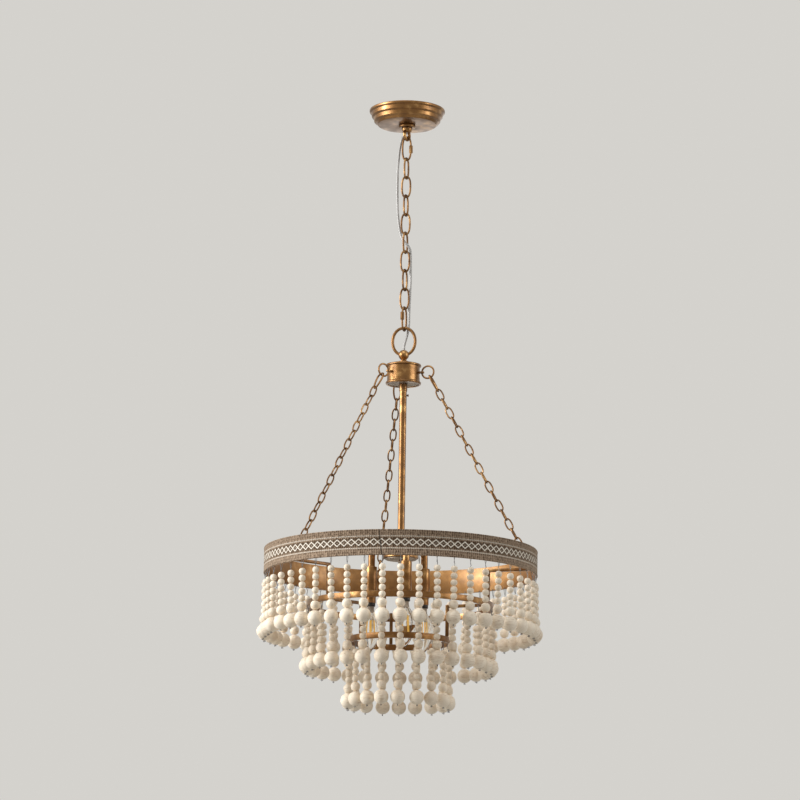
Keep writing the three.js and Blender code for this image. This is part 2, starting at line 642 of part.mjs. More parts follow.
function hoopWithStrands(hoop, radius, bottom, count) {
  let solid = toSolid(hoop);
  for (let i = 0; i < count; i += 1) {
    solid = solid.add(toSolid(strand(radius, bottom, 2 * HALF_TURN * i / count)));
  }
  return solid;
}

// A hook inside the band that a side chain's last link hangs the band from
function bandHook(direction) {
  const root = hookWall + BAND_WALL / 2;
  const tip = hookWall - HOOK_REACH;
  const curve = new THREE.CurvePath();
  const corner = new THREE.Vector3(tip, 0, -HOOK_DROP);
  const bend = new THREE.Vector3(tip + HOOK_WIRE, 0, -HOOK_DROP);
  const end = new THREE.Vector3(tip, 0, -HOOK_DROP + HOOK_TIP_HEIGHT);
  curve.add(new THREE.LineCurve3(new THREE.Vector3(root, 0, -HOOK_DROP), bend));
  curve.add(new THREE.QuadraticBezierCurve3(bend, corner, end));
  return bar(curve, HOOK_WIRE, HOOK_STEPS, LINK_SIDES).rotateZ(radians(direction) - QUARTER_TURN);
}

const band = tube(bandOuter, bandInner, -BAND_TOP_DROP, bandBottom, BAND_SIDES);
let bandSolid = hoopWithStrands(band, bandOuter - BAND_WALL / 2, bandBottom, OUTER_STRAND_COUNT);
for (const direction of CHAIN_DIRECTIONS) bandSolid = bandSolid.add(toSolid(bandHook(direction)));
piece('band_hoop_with_strands', toGeometry(bandSolid), wood);
const trimOuter = BAND_DIAMETER / 2;
piece('woven_trim', tube(trimOuter, trimOuter - TRIM_THICKNESS, -BAND_TOP_DROP, bandBottom, BAND_SIDES), woven);

function tierHoop(name, radius, bottom, sides, count) {
  const hoop = tube(radius + HOOP_WALL / 2, radius - HOOP_WALL / 2, bottom + HOOP_HEIGHT, bottom, sides);
  piece(name, toGeometry(hoopWithStrands(hoop, radius, bottom, count)), wood);
}

const middleBottom = bandBottom - UPPER_TIER_STEP;
const innerBottom = middleBottom - LOWER_TIER_STEP;
tierHoop('middle_hoop_with_strands', MIDDLE_HOOP_RADIUS, middleBottom, MIDDLE_HOOP_SIDES, MIDDLE_STRAND_COUNT);
tierHoop('inner_hoop_with_strands', INNER_HOOP_RADIUS, innerBottom, INNER_HOOP_SIDES, INNER_STRAND_COUNT);

// An L bracket: a square bar in from a hoop's wall, then down to the top of the next hoop
function hoopBracket(wall, barBottom, postRadius, postBottom) {
  const half = BRACKET_BAR / 2;
  const barTop = barBottom + BRACKET_BAR;
  const [inside, outside] = [postRadius - half, postRadius + half];
  const outline = new THREE.Shape([
    [wall, barTop], [inside, barTop], [inside, postBottom], [outside, postBottom], [outside, barBottom],
    [wall, barBottom],
  ].map((p) => new THREE.Vector2(...p)));
  return plate(outline, BRACKET_BAR).rotateX(QUARTER_TURN).translate(0, half, 0);
}

const middleWall = acrossFlat(MIDDLE_HOOP_RADIUS - HOOP_WALL / 2, MIDDLE_HOOP_SIDES);

// Side chains: each runs from its ring on the hub to its hook in the band
const ringCentre = new THREE.Vector3(lugHoleRadius + (SIDE_RING_DIAMETER - SIDE_RING_WIRE) / 2, 0, lugZ);
const chainLean = Math.atan2(hookSeat - ringCentre.x, ringCentre.z + HOOK_DROP);
const chainRun = Math.hypot(hookSeat - ringCentre.x, ringCentre.z + HOOK_DROP);
const longTop = (SIDE_RING_DIAMETER - SIDE_RING_WIRE) / 2 - (SIDE_RING_WIRE + LONG_LINK_WIRE) / 2 - GAP;
const longBottom = longTop + LONG_LINK_LENGTH - LONG_LINK_WIRE;
const smallTop = longBottom - (LONG_LINK_WIRE + SMALL_LINK_WIRE) / 2 - GAP;
const smallBottom = chainRun + ((HOOK_WIRE + SMALL_LINK_WIRE) / 2 + HOOK_RUNNING_GAP) / Math.cos(chainLean);

// The small links of one chain, each bearing on the next, along -z from the ring's centre
function smallChain() {
  const bearing = SMALL_LINK_WIRE - CHAIN_CONTACT_DEPTH;
  const reach = (smallBottom - smallTop + (SMALL_LINK_COUNT - 1) * bearing) / SMALL_LINK_COUNT;
  let solid = null;
  for (let i = 0; i < SMALL_LINK_COUNT; i += 1) {
    const top = smallTop + i * (reach - bearing);
    const length = reach + SMALL_LINK_WIRE;
    const shape = link(SMALL_LINK_WIDTH, length, SMALL_LINK_WIRE, SMALL_LINK_STEPS, SMALL_LINK_SIDES);
    shape.rotateZ(i % 2 === 0 ? 0 : QUARTER_TURN).translate(0, 0, -top - reach / 2);
    solid = solid ? solid.add(toSolid(shape)) : toSolid(shape);
  }
  return toGeometry(solid);
}

CHAIN_DIRECTIONS.forEach((direction, i) => {
  const side = branch(direction);
  const ring = link(SIDE_RING_DIAMETER, SIDE_RING_DIAMETER, SIDE_RING_WIRE, SIDE_RING_STEPS, LINK_SIDES);
  piece(`side_ring_${i + 1}`, ring, antiqueBrass, side).position.copy(ringCentre);
  const line = new THREE.Group();
  line.position.copy(ringCentre);
  line.rotation.y = -chainLean;
  side.add(line);
  const longLink = link(LONG_LINK_WIDTH, LONG_LINK_LENGTH, LONG_LINK_WIRE, LINK_STEPS, LINK_SIDES,
    LONG_LINK_TAPER_SHARE).rotateZ(QUARTER_TURN);
  piece(`long_link_${i + 1}`, longLink, antiqueBrass, line).position.z = -(longTop + longBottom) / 2;
  piece(`side_chain_${i + 1}`, smallChain(), antiqueBrass, line);
  const upper = hoopBracket(hookWall - GAP, bandBottom, MIDDLE_HOOP_RADIUS, middleBottom + HOOP_HEIGHT + GAP);
  piece(`upper_bracket_${i + 1}`, upper, darkBrass, side);
  const lower = hoopBracket(middleWall - GAP, middleBottom, INNER_HOOP_RADIUS, innerBottom + HOOP_HEIGHT + GAP);
  piece(`lower_bracket_${i + 1}`, lower, darkBrass, side);
});

export default chandelier;
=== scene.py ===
# Beaded chandelier: a ceiling light with a woven-trimmed band, bead strands and three lamps.
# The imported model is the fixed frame, and the pieces made here dress it.
from math import atan2, cos, floor, hypot, pi, radians, sin, sqrt

import bmesh
import bpy
from bpy.props import FloatProperty, FloatVectorProperty, IntProperty, PointerProperty
from mathutils import Matrix, Vector


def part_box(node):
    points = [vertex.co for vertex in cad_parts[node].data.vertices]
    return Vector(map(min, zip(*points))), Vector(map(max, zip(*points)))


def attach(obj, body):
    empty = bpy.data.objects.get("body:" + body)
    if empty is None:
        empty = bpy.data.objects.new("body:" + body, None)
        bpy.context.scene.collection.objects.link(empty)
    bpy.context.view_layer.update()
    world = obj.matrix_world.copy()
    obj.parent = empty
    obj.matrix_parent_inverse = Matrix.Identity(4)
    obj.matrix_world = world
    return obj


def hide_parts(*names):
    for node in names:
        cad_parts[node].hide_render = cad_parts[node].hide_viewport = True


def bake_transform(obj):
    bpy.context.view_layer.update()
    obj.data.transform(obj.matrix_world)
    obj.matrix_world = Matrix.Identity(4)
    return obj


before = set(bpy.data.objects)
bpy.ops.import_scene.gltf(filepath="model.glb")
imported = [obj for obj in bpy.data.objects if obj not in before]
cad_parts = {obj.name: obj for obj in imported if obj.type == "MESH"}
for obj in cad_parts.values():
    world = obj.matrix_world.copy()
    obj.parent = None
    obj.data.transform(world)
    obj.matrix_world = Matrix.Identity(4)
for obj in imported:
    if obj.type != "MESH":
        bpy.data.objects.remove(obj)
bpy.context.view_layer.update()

bl_info = {
    "name": "Beaded chandelier",
    "version": (1, 0, 0),
    "blender": (4, 5, 0),
    "location": "3D View > Sidebar > Chandelier",
    "description": "Builds a chain-hung chandelier with bead strands, a woven trim and three lamps",
    "category": "Add Mesh",
}

MM = 0.001

# Directions in degrees from the front towards +x
CHAIN_DIRECTIONS = (70, -50, 190)
LAMP_DIRECTIONS = (10, 130, -110)
# Planes of the chain links in degrees from +x
FACING_PLANE = -10
TURNED_PLANE = 62
PLAIN_LINKS = ["chain_link_%d" % number for number in range(2, 10)]
CHAIN_BODIES = ["quick_link_upper", *PLAIN_LINKS, "quick_link_lower"]

# Places that more than one piece follows: radii from the axis, and drops below the trim's lower edge
MIDDLE_HOOP_RADIUS = 152 * MM
MIDDLE_HOOP_DROP = 56.3 * MM
INNER_HOOP_RADIUS = 82 * MM
INNER_HOOP_DROP = 113.3 * MM
OUTER_STRAND_RADIUS = 221.8 * MM
# The hooks on the band: below the trim's upper edge, and where the side chains meet them
HOOK_DROP = 16.5 * MM
HOOK_REACH = 215.53 * MM
LUG_RING_REACH = 43 * MM
# From the foot of the ball clasp up to the ball
BALL_FOOT = 2.4 * MM
# Clearance between links that hang in each other
LINK_GAP = 0.3 * MM
HOOK_GAP = 0.6 * MM

# The flex's route, as in the part's source: places down the chain in links, then shares of a link's width
FLEX_ROUTE = [
    (0, -0.263, 0.149), (0.143, -0.411, 0.223), (0.403, -0.526, 0.269), (0.922, -0.663, 0.303),
    (1.446, -0.760, 0.320), (2.036, -0.834, 0.320), (2.822, -0.857, 0.314), (3.608, -0.834, 0.309),
    (4.300, -0.777, 0.297), (4.929, -0.669, 0.286), (5.432, -0.509, 0.251), (5.684, -0.400, 0.177),
    (5.857, -0.217, 0.074), (6, 0, 0.023), (6.156, 0.251, 0.034), (6.376, 0.457, 0.126),
    (6.690, 0.526, 0.217), (7.131, 0.537, 0.274), (7.854, 0.549, 0.280), (8.703, 0.514, 0.257),
    (9.398, 0.469, 0.240), (9.838, 0.451, 0.274), (10.169, 0.446, 0.331), (10.377, 0.411, 0.354),
    (10.636, 0.331, 0.286), (10.870, 0.194, 0.160), (11.130, 0.074, 0.057), (11.370, 0.014, 0.011),
    (11.522, 0, 0),
]
# Depths in millimetres where one length of the flex ends and the next begins, between two joints
FLEX_CUTS = (66, 98.5, 131, 163, 195, 227, 259, 291, 323, 354, 385.5)


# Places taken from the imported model

def low(node):
    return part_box(node)[0]


def high(node):
    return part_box(node)[1]


def top_and_bottom(node):
    return high(node)[2], low(node)[2]


def middle(node):
    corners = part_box(node)
    return (Vector(corners[0]) + Vector(corners[1])) / 2


def facing_out(direction):
    return Matrix.Rotation(radians(direction) - pi / 2, 4, "Z")


# Outline points given in millimetres, as radii and as heights from a level
def outline_at(level, *points):
    return [(radius * MM, level + height * MM) for radius, height in points]


# Properties that a user would change

def length_property(name, description, default_mm):
    return FloatProperty(name=name, description=description, default=default_mm * MM, min=0, unit="LENGTH",
                         precision=5)


def colour_property(name, description, default):
    return FloatVectorProperty(name=name, description=description, default=default, subtype="COLOR", size=4,
                               min=0, max=1)


def count_property(name, description, default):
    return IntProperty(name=name, description=description, default=default, min=1)


class CanopyFittings(bpy.types.PropertyGroup):
    wall: length_property("Canopy wall", "Thickness of the canopy's spun sheet", 1.4)
    edge: length_property("Edge radius", "Radius of the turned edges", 1.3)
    loop_wire: length_property("Loop wire", "Wire of the canopy's loop", 5.4)
    loop_width: length_property("Loop width", "Outside width of the canopy's loop", 22)


class ChainFittings(bpy.types.PropertyGroup):
    link_wire: length_property("Link wire", "Wire of the main chain's links", 3.2)
    link_width: length_property("Link width", "Outside width of a main link", 17.5)
    ring_wire: length_property("Ring wire", "Wire of the big ring", 5)
    ring_width: length_property("Ring width", "Outside width of the big ring", 43)
    flex_diameter: length_property("Flex diameter", "Diameter of the flex's sheath", 4.2)


class HubFittings(bpy.types.PropertyGroup):
    ball_diameter: length_property("Ball diameter", "Diameter of the ball that holds the big ring", 17.7)
    drum_diameter: length_property("Drum diameter", "Diameter of the hub's drum", 55)
    lip_diameter: length_property("Lip diameter", "Diameter of the hub's lips", 59)
    lug_width: length_property("Lug width", "Width of each chain lug", 7)
    rod_diameter: length_property("Rod diameter", "Diameter of the centre rod", 11.8)


class LampFittings(bpy.types.PropertyGroup):
    arm_diameter: length_property("Arm diameter", "Diameter of the lamp arms' tube", 11.6)
    arm_reach: length_property("Arm reach", "Distance of the lamps from the centre", 51)
    cup_diameter: length_property("Cup diameter", "Diameter of the socket cups", 19)
    glass_diameter: length_property("Glass diameter", "Widest diameter of a lamp's glass", 34)
    filament_count: count_property("Filaments", "Filament sticks in each lamp", 4)


class BandFittings(bpy.types.PropertyGroup):
    diameter: length_property("Band diameter", "Outside diameter of the trimmed band", 450)
    trim_thickness: length_property("Trim thickness", "Thickness of the woven trim", 1.6)
    wall: length_property("Band wall", "Thickness of the metal band", 2.6)
    hoop_wall: length_property("Hoop wall", "Thickness of the two lower hoops", 3.4)
    bracket_bar: length_property("Bracket bar", "Width of the square bar of the brackets", 5)


class StrandFittings(bpy.types.PropertyGroup):
    outer_count: count_property("Outer strands", "Strands on the band", 48)
    middle_count: count_property("Middle strands", "Strands on the middle hoop", 32)
    inner_count: count_property("Inner strands", "Strands on the inner hoop", 18)
    small_bead: length_property("Small bead", "Diameter of the five upper beads", 10.9)
    medium_bead: length_property("Medium bead", "Diameter of the sixth bead", 15.5)
    big_bead: length_property("Big bead", "Diameter of the lowest bead", 24)
    wire_drop: length_property("Wire drop", "Bare wire above the first bead", 13)


class SideChainFittings(bpy.types.PropertyGroup):
    ring_diameter: length_property("Ring diameter", "Outside diameter of the ring on each lug", 23.6)
    ring_wire: length_property("Ring wire", "Wire of the ring on each lug", 3)
    small_width: length_property("Small link width", "Outside width of a small link", 12.5)
    small_wire: length_property("Small link wire", "Wire of a small link", 2.6)
    small_count: count_property("Small links", "Small links in each side chain", 18)


class Finishes(bpy.types.PropertyGroup):
    brass_bright: colour_property("Rubbed brass", "Where the brass is rubbed bright", (0.62, 0.375, 0.15, 1))
    brass_mid: colour_property("Aged brass", "The brass over most of the surface", (0.225, 0.109, 0.032, 1))
    brass_dark: colour_property("Dark patina", "Patina in hollows and patches", (0.075, 0.033, 0.011, 1))
    wood_light: colour_property("Light wood", "Pale wood of the beads", (0.95, 0.84, 0.685, 1))
    wood_dark: colour_property("Wood grain", "Darker grain of the beads", (0.52, 0.365, 0.22, 1))
    linen: colour_property("Linen", "Ground thread of the woven trim", (0.265, 0.145, 0.066, 1))
    thread: colour_property("White thread", "White thread of the woven pattern", (0.88, 0.81, 0.7, 1))
    room: colour_property("Room", "Colour of the floor and the background", (0.66, 0.645, 0.612, 1))


# Making and finishing meshes

def mesh_from(form, name):
    mesh = bpy.data.meshes.new(name)
    form.to_mesh(mesh)
    form.free()
    return mesh


# Dresses a finished form; its one slot holds the named finish
def piece_from(form, name, body, finish_name, replaces=None, sharp=40):
    # faces are smooth, and edges that turn by more than this many degrees stay sharp
    bmesh.ops.recalc_face_normals(form, faces=form.faces)
    for face in form.faces:
        face.smooth = True
    for edge in form.edges:
        if len(edge.link_faces) == 2 and edge.calc_face_angle(0) > radians(sharp):
            edge.smooth = False
    mesh = mesh_from(form, name)
    mesh.materials.append(finish(finish_name))
    piece = bpy.data.objects.new(name, mesh)
    bpy.context.scene.collection.objects.link(piece)
    if replaces:
        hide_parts(replaces)
    # a piece that crosses a joint has no body of its own
    if body:
        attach(piece, body)
    return piece


# A piece that is one spun outline
def turned_piece(name, body, finish_name, replaces, outline, steps, slot=None, sharp=40, **shape):
    form = bmesh.new()
    turn(form, outline, steps, **shape)
    return piece_from(form, name, body, finish_name, replaces, sharp)


# The vertices that a form has gained
def added(form, before):
    return [vert for vert in form.verts if vert not in before]


# Rounds the edges that turn by more than the given degrees
def soften(form, geometry, offset, segments=2, angle=30):
    edges = [edge for edge in geometry if edge.is_valid and len(edge.link_faces) == 2
             and edge.calc_face_angle(0) > radians(angle)]
    bmesh.ops.bevel(form, geom=edges, offset=offset, offset_type="OFFSET", segments=segments, profile=0.5,
                    affect="EDGES", clamp_overlap=True, material=-1)


# Spins an outline of (radius, height) points round a vertical axis and returns what it made
def turn(form, outline, steps, matrix=Matrix(), closed=False, edge_radius=0, segments=2):
    before = set(form.verts)
    points = [form.verts.new((radius, 0, height)) for radius, height in outline]
    edges = [form.edges.new(pair) for pair in zip(points, points[1:])]
    if closed:
        edges.append(form.edges.new((points[-1], points[0])))
    bmesh.ops.spin(form, geom=points + edges, cent=(0, 0, 0), axis=(0, 0, 1), angle=2 * pi, steps=steps,
                   use_merge=True, use_normal_flip=False)
    made = added(form, before)
    poles = [vert for vert in made if hypot(vert.co.x, vert.co.y) < 1e-7]
    if poles:
        bmesh.ops.remove_doubles(form, verts=poles, dist=1e-7)
    made = added(form, before)
    if edge_radius:
        edges = {edge for vert in made for edge in vert.link_edges}
        soften(form, edges, edge_radius, segments)
        made = added(form, before)
    bmesh.ops.transform(form, matrix=matrix, verts=made)
    return made


# A wire bent into an oval ring that stands in the xz plane; roundness 2 is an ellipse, more is squarer
def wire_ring(form, width, height, wire, steps, sides, matrix=Matrix(), roundness=2.0, taper=0.0):
    before = set(form.verts)
    reach_x = (width - wire) / 2
    reach_z = (height - wire) / 2
    section = bmesh.ops.create_circle(form, segments=sides, radius=wire / 2,
                                      matrix=Matrix.Translation((reach_x, 0, 0)))
    rim = section["verts"]
    edges = list({edge for vert in rim for edge in vert.link_edges})
    bmesh.ops.spin(form, geom=rim + edges, cent=(0, 0, 0), axis=(0, 1, 0), angle=2 * pi, steps=steps,
                   use_merge=True)
    made = added(form, before)

    def line(angle):
        share_x = abs(cos(angle)) ** (2 / roundness) * (1 if cos(angle) > 0 else -1)
        share_z = abs(sin(angle)) ** (2 / roundness) * (1 if sin(angle) > 0 else -1)
        return Vector((reach_x * share_x * (1 + taper * share_z), 0, reach_z * share_z))

    for vert in made:
        angle = atan2(vert.co.z, vert.co.x)
        out = hypot(vert.co.x, vert.co.z) - reach_x
        ahead = line(angle + 0.02) - line(angle - 0.02)
        normal = Vector((ahead.z, 0, -ahead.x)).normalized()
        side = vert.co.y
        vert.co = line(angle) + normal * out
        vert.co.y = side
    bmesh.ops.transform(form, matrix=matrix, verts=made)
    return made


# A round bar swept along points by extruding its ring from each point to the next
def sweep(form, points, radius, sides):
    points = [Vector(point) for point in points]
    tangents = []
    for index, point in enumerate(points):
        ahead = points[min(index + 1, len(points) - 1)]
        behind = points[max(index - 1, 0)]
        tangents.append((ahead - behind).normalized())
    turn_to = tangents[0].to_track_quat("Z", "Y").to_matrix().to_4x4()
    ring = bmesh.ops.create_circle(form, segments=sides, radius=radius, cap_ends=True,
                                   matrix=Matrix.Translation(points[0]) @ turn_to)["verts"]
    made = list(ring)
    for index in range(1, len(points)):
        edges = [edge for edge in {edge for vert in ring for edge in vert.link_edges}
                 if edge.verts[0] in ring and edge.verts[1] in ring]
        copy = bmesh.ops.extrude_edge_only(form, edges=edges)["geom"]
        ring = [item for item in copy if isinstance(item, bmesh.types.BMVert)]
        swing = tangents[index - 1].rotation_difference(tangents[index]).to_matrix().to_4x4()
        move = Matrix.Translation(points[index]) @ swing @ Matrix.Translation(-points[index - 1])
        bmesh.ops.transform(form, matrix=move, verts=ring)
        made += ring
    bmesh.ops.contextual_create(form, geom=ring)
    return made


# A flat plate from an outline with holes, filled, extruded and softened; its faces lie in xy
def plate(form, outline, holes, thickness, edge_radius=0.3, matrix=Matrix()):
    before = set(form.verts)
    edges = []
    for loop in [outline, *holes]:
        points = [form.verts.new((x, y, 0)) for x, y in loop]
        edges += [form.edges.new(pair) for pair in zip(points, points[1:] + points[:1])]
    filled = bmesh.ops.triangle_fill(form, use_beauty=True, use_dissolve=False, edges=edges)["geom"]
    faces = [item for item in filled if isinstance(item, bmesh.types.BMFace)]
    bmesh.ops.dissolve_limit(form, angle_limit=radians(1), verts=[], edges=[])
    copy = bmesh.ops.extrude_face_region(form, geom=faces, use_keep_orig=True)["geom"]
    lifted = [item for item in copy if isinstance(item, bmesh.types.BMVert)]
    bmesh.ops.translate(form, vec=(0, 0, thickness), verts=lifted)
    made = added(form, before)
    bmesh.ops.translate(form, vec=(0, 0, -thickness / 2), verts=made)
    if edge_radius:
        soften(form, {edge for vert in made for edge in vert.link_edges}, edge_radius, 2, 50)
        made = added(form, before)
    bmesh.ops.transform(form, matrix=matrix, verts=made)
    return made


# Points round a circle, or along an arc of it with a point at both ends
def circle_points(x, y, radius, count, start=0.0, sweep_angle=2 * pi):
    whole = abs(sweep_angle - 2 * pi) < 1e-9
    steps = count if whole else count - 1
    angles = [start + sweep_angle * step / steps for step in range(count)]
    return [(x + radius * cos(angle), y + radius * sin(angle)) for angle in angles]


# Shader helpers

class Tree:
    """The nodes of a material, a node group or the world, with short ways to add the usual ones"""

    def __init__(self, node_tree):
        self.nodes = node_tree.nodes
        self.links = node_tree.links
        self.coordinates = None

    def add(self, kind, values=None, **settings):
        node = self.nodes.new("ShaderNode" + kind)
        for setting, value in settings.items():
            setattr(node, setting, value)
        self.fill(node, values or {})
        return node

    # sets a node's inputs, and links those whose value is another node's output
    def fill(self, node, values):
        for label, value in values.items():
            if isinstance(value, bpy.types.NodeSocket):
                self.links.new(value, node.inputs[label])
            else:
                node.inputs[label].default_value = value

    def place(self, kind="Object"):
        if self.coordinates is None:
            self.coordinates = self.add("TexCoord").outputs
        return self.coordinates[kind]

    def maths(self, operation, *values, clamp=False):
        return self.add("Math", dict(enumerate(values)), operation=operation, use_clamp=clamp).outputs[0]

    # a mix node keeps the sockets for colours at inputs 6 and 7 and at output 2
    def blend(self, factor, first, second):
        return self.add("Mix", {0: factor, 6: first, 7: second}, data_type="RGBA").outputs[2]

    def ramp(self, factor, start, end):
        values = {"Value": factor, "From Min": start, "From Max": end}
        return self.add("MapRange", values, interpolation_type="SMOOTHSTEP").outputs["Result"]

    def noise(self, vector, scale, detail, roughness=0.55):
        values = {"Vector": vector, "Scale": scale, "Detail": detail, "Roughness": roughness}
        return self.add("TexNoise", values).outputs["Fac"]

    def stretched(self, vector, scale):
        return self.add("Mapping", {"Vector": vector, "Scale": scale}).outputs[0]

    # a thread that runs along a line: 1 on the line, 0 beyond its half width
    def thread(self, distance, half_width):
        return self.ramp(self.maths("ABSOLUTE", distance), half_width, half_width * 0.45)


def new_group(name, inputs):
    group = bpy.data.node_groups.new(name, "ShaderNodeTree")
    for label, kind, default in inputs:
        socket = group.interface.new_socket(label, in_out="INPUT", socket_type="NodeSocket" + kind)
        if default is not None:
            socket.default_value = default
    for label, kind in (("Color", "Color"), ("Roughness", "Float"), ("Height", "Float")):
        group.interface.new_socket(label, in_out="OUTPUT", socket_type="NodeSocket" + kind)
    entry = group.nodes.new("NodeGroupInput")
    way_out = group.nodes.new("NodeGroupOutput")
    return group, Tree(group), entry.outputs, way_out


# Shared effects

# Patina: clouds of dark tarnish, rubbed bright patches and fine brush lines
def patina_group():
    group, tree, given, way_out = new_group("rubbed_patina", [
        ("Vector", "Vector", None), ("Bright", "Color", (0.72, 0.42, 0.16, 1)),
        ("Middle", "Color", (0.5, 0.26, 0.085, 1)), ("Dark", "Color", (0.2, 0.095, 0.032, 1)),
        ("Tarnish", "Float", 0.5), ("Roughness", "Float", 0.32),
    ])
    maths = tree.maths
    clouds = tree.noise(given["Vector"], 55, 5)
    grains = tree.noise(given["Vector"], 620, 2)
    brush = tree.noise(tree.stretched(given["Vector"], (60, 60, 1400)), 1, 2)
    tarnish = maths("MULTIPLY", tree.ramp(clouds, 0.45, 0.68), given["Tarnish"])
    rubbed = tree.ramp(maths("ADD", clouds, maths("MULTIPLY", grains, -0.12)), 0.43, 0.25)
    aged = tree.blend(tarnish, given["Middle"], given["Dark"])
    bright = tree.blend(maths("MULTIPLY", rubbed, 0.7), aged, given["Bright"])
    fine = maths("MULTIPLY", tree.ramp(grains, 0.52, 0.75), 0.15)
    rough = maths("ADD", given["Roughness"], maths("MULTIPLY", tarnish, 0.22))
    tree.fill(way_out, {
        "Color": tree.blend(fine, bright, given["Dark"]),
        "Roughness": maths("ADD", rough, maths("MULTIPLY", brush, 0.1)),
        "Height": maths("ADD", maths("MULTIPLY", brush, 0.8), maths("MULTIPLY", grains, 0.2)),
    })
    return group


# Wood: growth lines along the bead's bore, pores and a tint that differs from bead to bead
def grain_group():
    group, tree, given, way_out = new_group("turned_wood_grain", [
        ("Vector", "Vector", None), ("Tint", "Float", 0.5),
        ("Light", "Color", (0.82, 0.73, 0.58, 1)), ("Dark", "Color", (0.62, 0.49, 0.33, 1)),
    ])
    maths = tree.maths
    # each bead is cut from another place in the wood
    shift = tree.add("CombineXYZ", {"X": maths("MULTIPLY", given["Tint"], 3.0),
                                    "Y": maths("MULTIPLY", given["Tint"], 1.7)})
    moved = tree.add("VectorMath", {0: given["Vector"], 1: shift.outputs[0]}).outputs[0]
    lines = tree.noise(tree.stretched(moved, (120, 120, 820)), 1, 3, 0.6)
    clouds = tree.noise(moved, 60, 2)
    pores = tree.noise(moved, 1500, 1)
    grain = maths("MULTIPLY", tree.ramp(lines, 0.46, 0.72), 0.55)
    stains = maths("MULTIPLY", tree.ramp(clouds, 0.5, 0.75), 0.25)
    spread = maths("MULTIPLY", maths("SUBTRACT", given["Tint"], 0.5), 0.34)
    amount = maths("ADD", maths("ADD", grain, stains), spread, clamp=True)
    tree.fill(way_out, {
        "Color": tree.blend(amount, given["Light"], given["Dark"]),
        "Roughness": maths("ADD", maths("MULTIPLY", lines, 0.16), 0.46),
        "Height": maths("ADD", maths("MULTIPLY", lines, 0.5), maths("MULTIPLY", pores, 0.5)),
    })
    return group


# Weave of the trim: ribbed linen rows, two fine white rows and a lattice of crossed white threads
def weave_group():
    group, tree, given, way_out = new_group("lattice_weave", [
        ("Along", "Float", 0.0), ("Up", "Float", 0.0), ("Height", "Float", 0.041),
        ("Pitch", "Float", 0.012401), ("Linen", "Color", (0.265, 0.145, 0.066, 1)),
        ("Thread", "Color", (0.88, 0.81, 0.7, 1)), ("Vector", "Vector", None),
    ])
    maths = tree.maths
    # lengths in metres, and heights as shares of the trim's height from its middle
    dot_pitch, stitch_pitch, row_pitch = 0.0031, 0.0038, 0.0044
    lattice_reach, fine_row_place = 0.128, 0.235
    seam_place, seam_slant = 1.03, 0.12

    def waves(length, pitch):
        return maths("MULTIPLY", length, 2 * pi / pitch)

    share = maths("DIVIDE", given["Up"], given["Height"])
    from_middle = maths("ABSOLUTE", maths("SUBTRACT", share, 0.5))
    repeat = maths("FRACT", maths("DIVIDE", given["Along"], given["Pitch"]))
    across = maths("ABSOLUTE", maths("SUBTRACT", maths("MULTIPLY", repeat, 2.0), 1.0))
    climb = maths("DIVIDE", from_middle, lattice_reach)
    crossed = tree.thread(maths("SUBTRACT", across, climb), 0.3)
    lattice = maths("MULTIPLY", crossed, tree.ramp(from_middle, 0.152, 0.138))
    apart = maths("SUBTRACT", 1.0, across)
    dot = tree.ramp(maths("ADD", apart, maths("MULTIPLY", climb, 1.2)), 0.3, 0.12)
    fine_row = tree.thread(maths("SUBTRACT", from_middle, fine_row_place), 0.028)
    dots = maths("SINE", waves(given["Along"], dot_pitch))
    fine_row = maths("MULTIPLY", fine_row, maths("ADD", maths("MULTIPLY", dots, 0.3), 0.5))
    white = maths("MAXIMUM", maths("MAXIMUM", lattice, maths("MULTIPLY", dot, 0.35)), fine_row)
    patches = tree.noise(given["Vector"], 230, 4)
    jitter = maths("MULTIPLY", patches, 11.0)
    stitches = maths("SINE", maths("ADD", waves(given["Along"], stitch_pitch), jitter))
    rows = maths("SINE", maths("ADD", waves(given["Up"], row_pitch), jitter))
    rib = maths("ADD", maths("ADD", maths("MULTIPLY", stitches, 0.3), maths("MULTIPLY", rows, 0.14)), 0.5)
    blotch = maths("MULTIPLY", maths("SUBTRACT", patches, 0.5), 1.3)
    shade = maths("ADD", maths("MULTIPLY", rib, 0.75), blotch)
    dark = tree.blend(0.85, given["Linen"], (0.034, 0.02, 0.011, 1))
    pale = tree.blend(0.22, given["Linen"], given["Thread"])
    centre = tree.ramp(from_middle, 0.2, 0.15)
    tone = maths("SUBTRACT", maths("MULTIPLY", shade, 1.5), maths("MULTIPLY", centre, 0.55), clamp=True)
    woven = tree.blend(white, tree.blend(tone, dark, pale), given["Thread"])
    # the slanting seam where the trim's two ends meet
    slanted = maths("ADD", given["Along"], maths("MULTIPLY", given["Up"], seam_slant))
    seam = tree.thread(maths("SUBTRACT", slanted, seam_place), 0.0016)
    raised = maths("ADD", maths("MULTIPLY", white, 0.7), maths("MULTIPLY", rib, 0.5))
    tree.fill(way_out, {
        "Color": tree.blend(maths("MULTIPLY", seam, 0.8), woven, (0.04, 0.027, 0.018, 1)),
        "Roughness": maths("SUBTRACT", 0.92, maths("MULTIPLY", white, 0.15)),
        "Height": maths("SUBTRACT", raised, seam),
    })
    return group


# Finishes

def material_with(name):
    material = bpy.data.materials.new(name)
    material.use_nodes = True
    tree = Tree(material.node_tree)
    return material, tree, tree.nodes["Principled BSDF"]


# Gives a shader the colour, the roughness and the bump of a shared effect
def dress(tree, shader, group, values, bump_strength, bump_distance=0.0003):
    effect = tree.add("Group", values, node_tree=group).outputs
    bump = tree.add("Bump", {"Strength": bump_strength, "Distance": bump_distance,
                             "Height": effect["Height"]})
    tree.fill(shader, {"Base Color": effect["Color"], "Roughness": effect["Roughness"],
                       "Normal": bump.outputs["Normal"]})


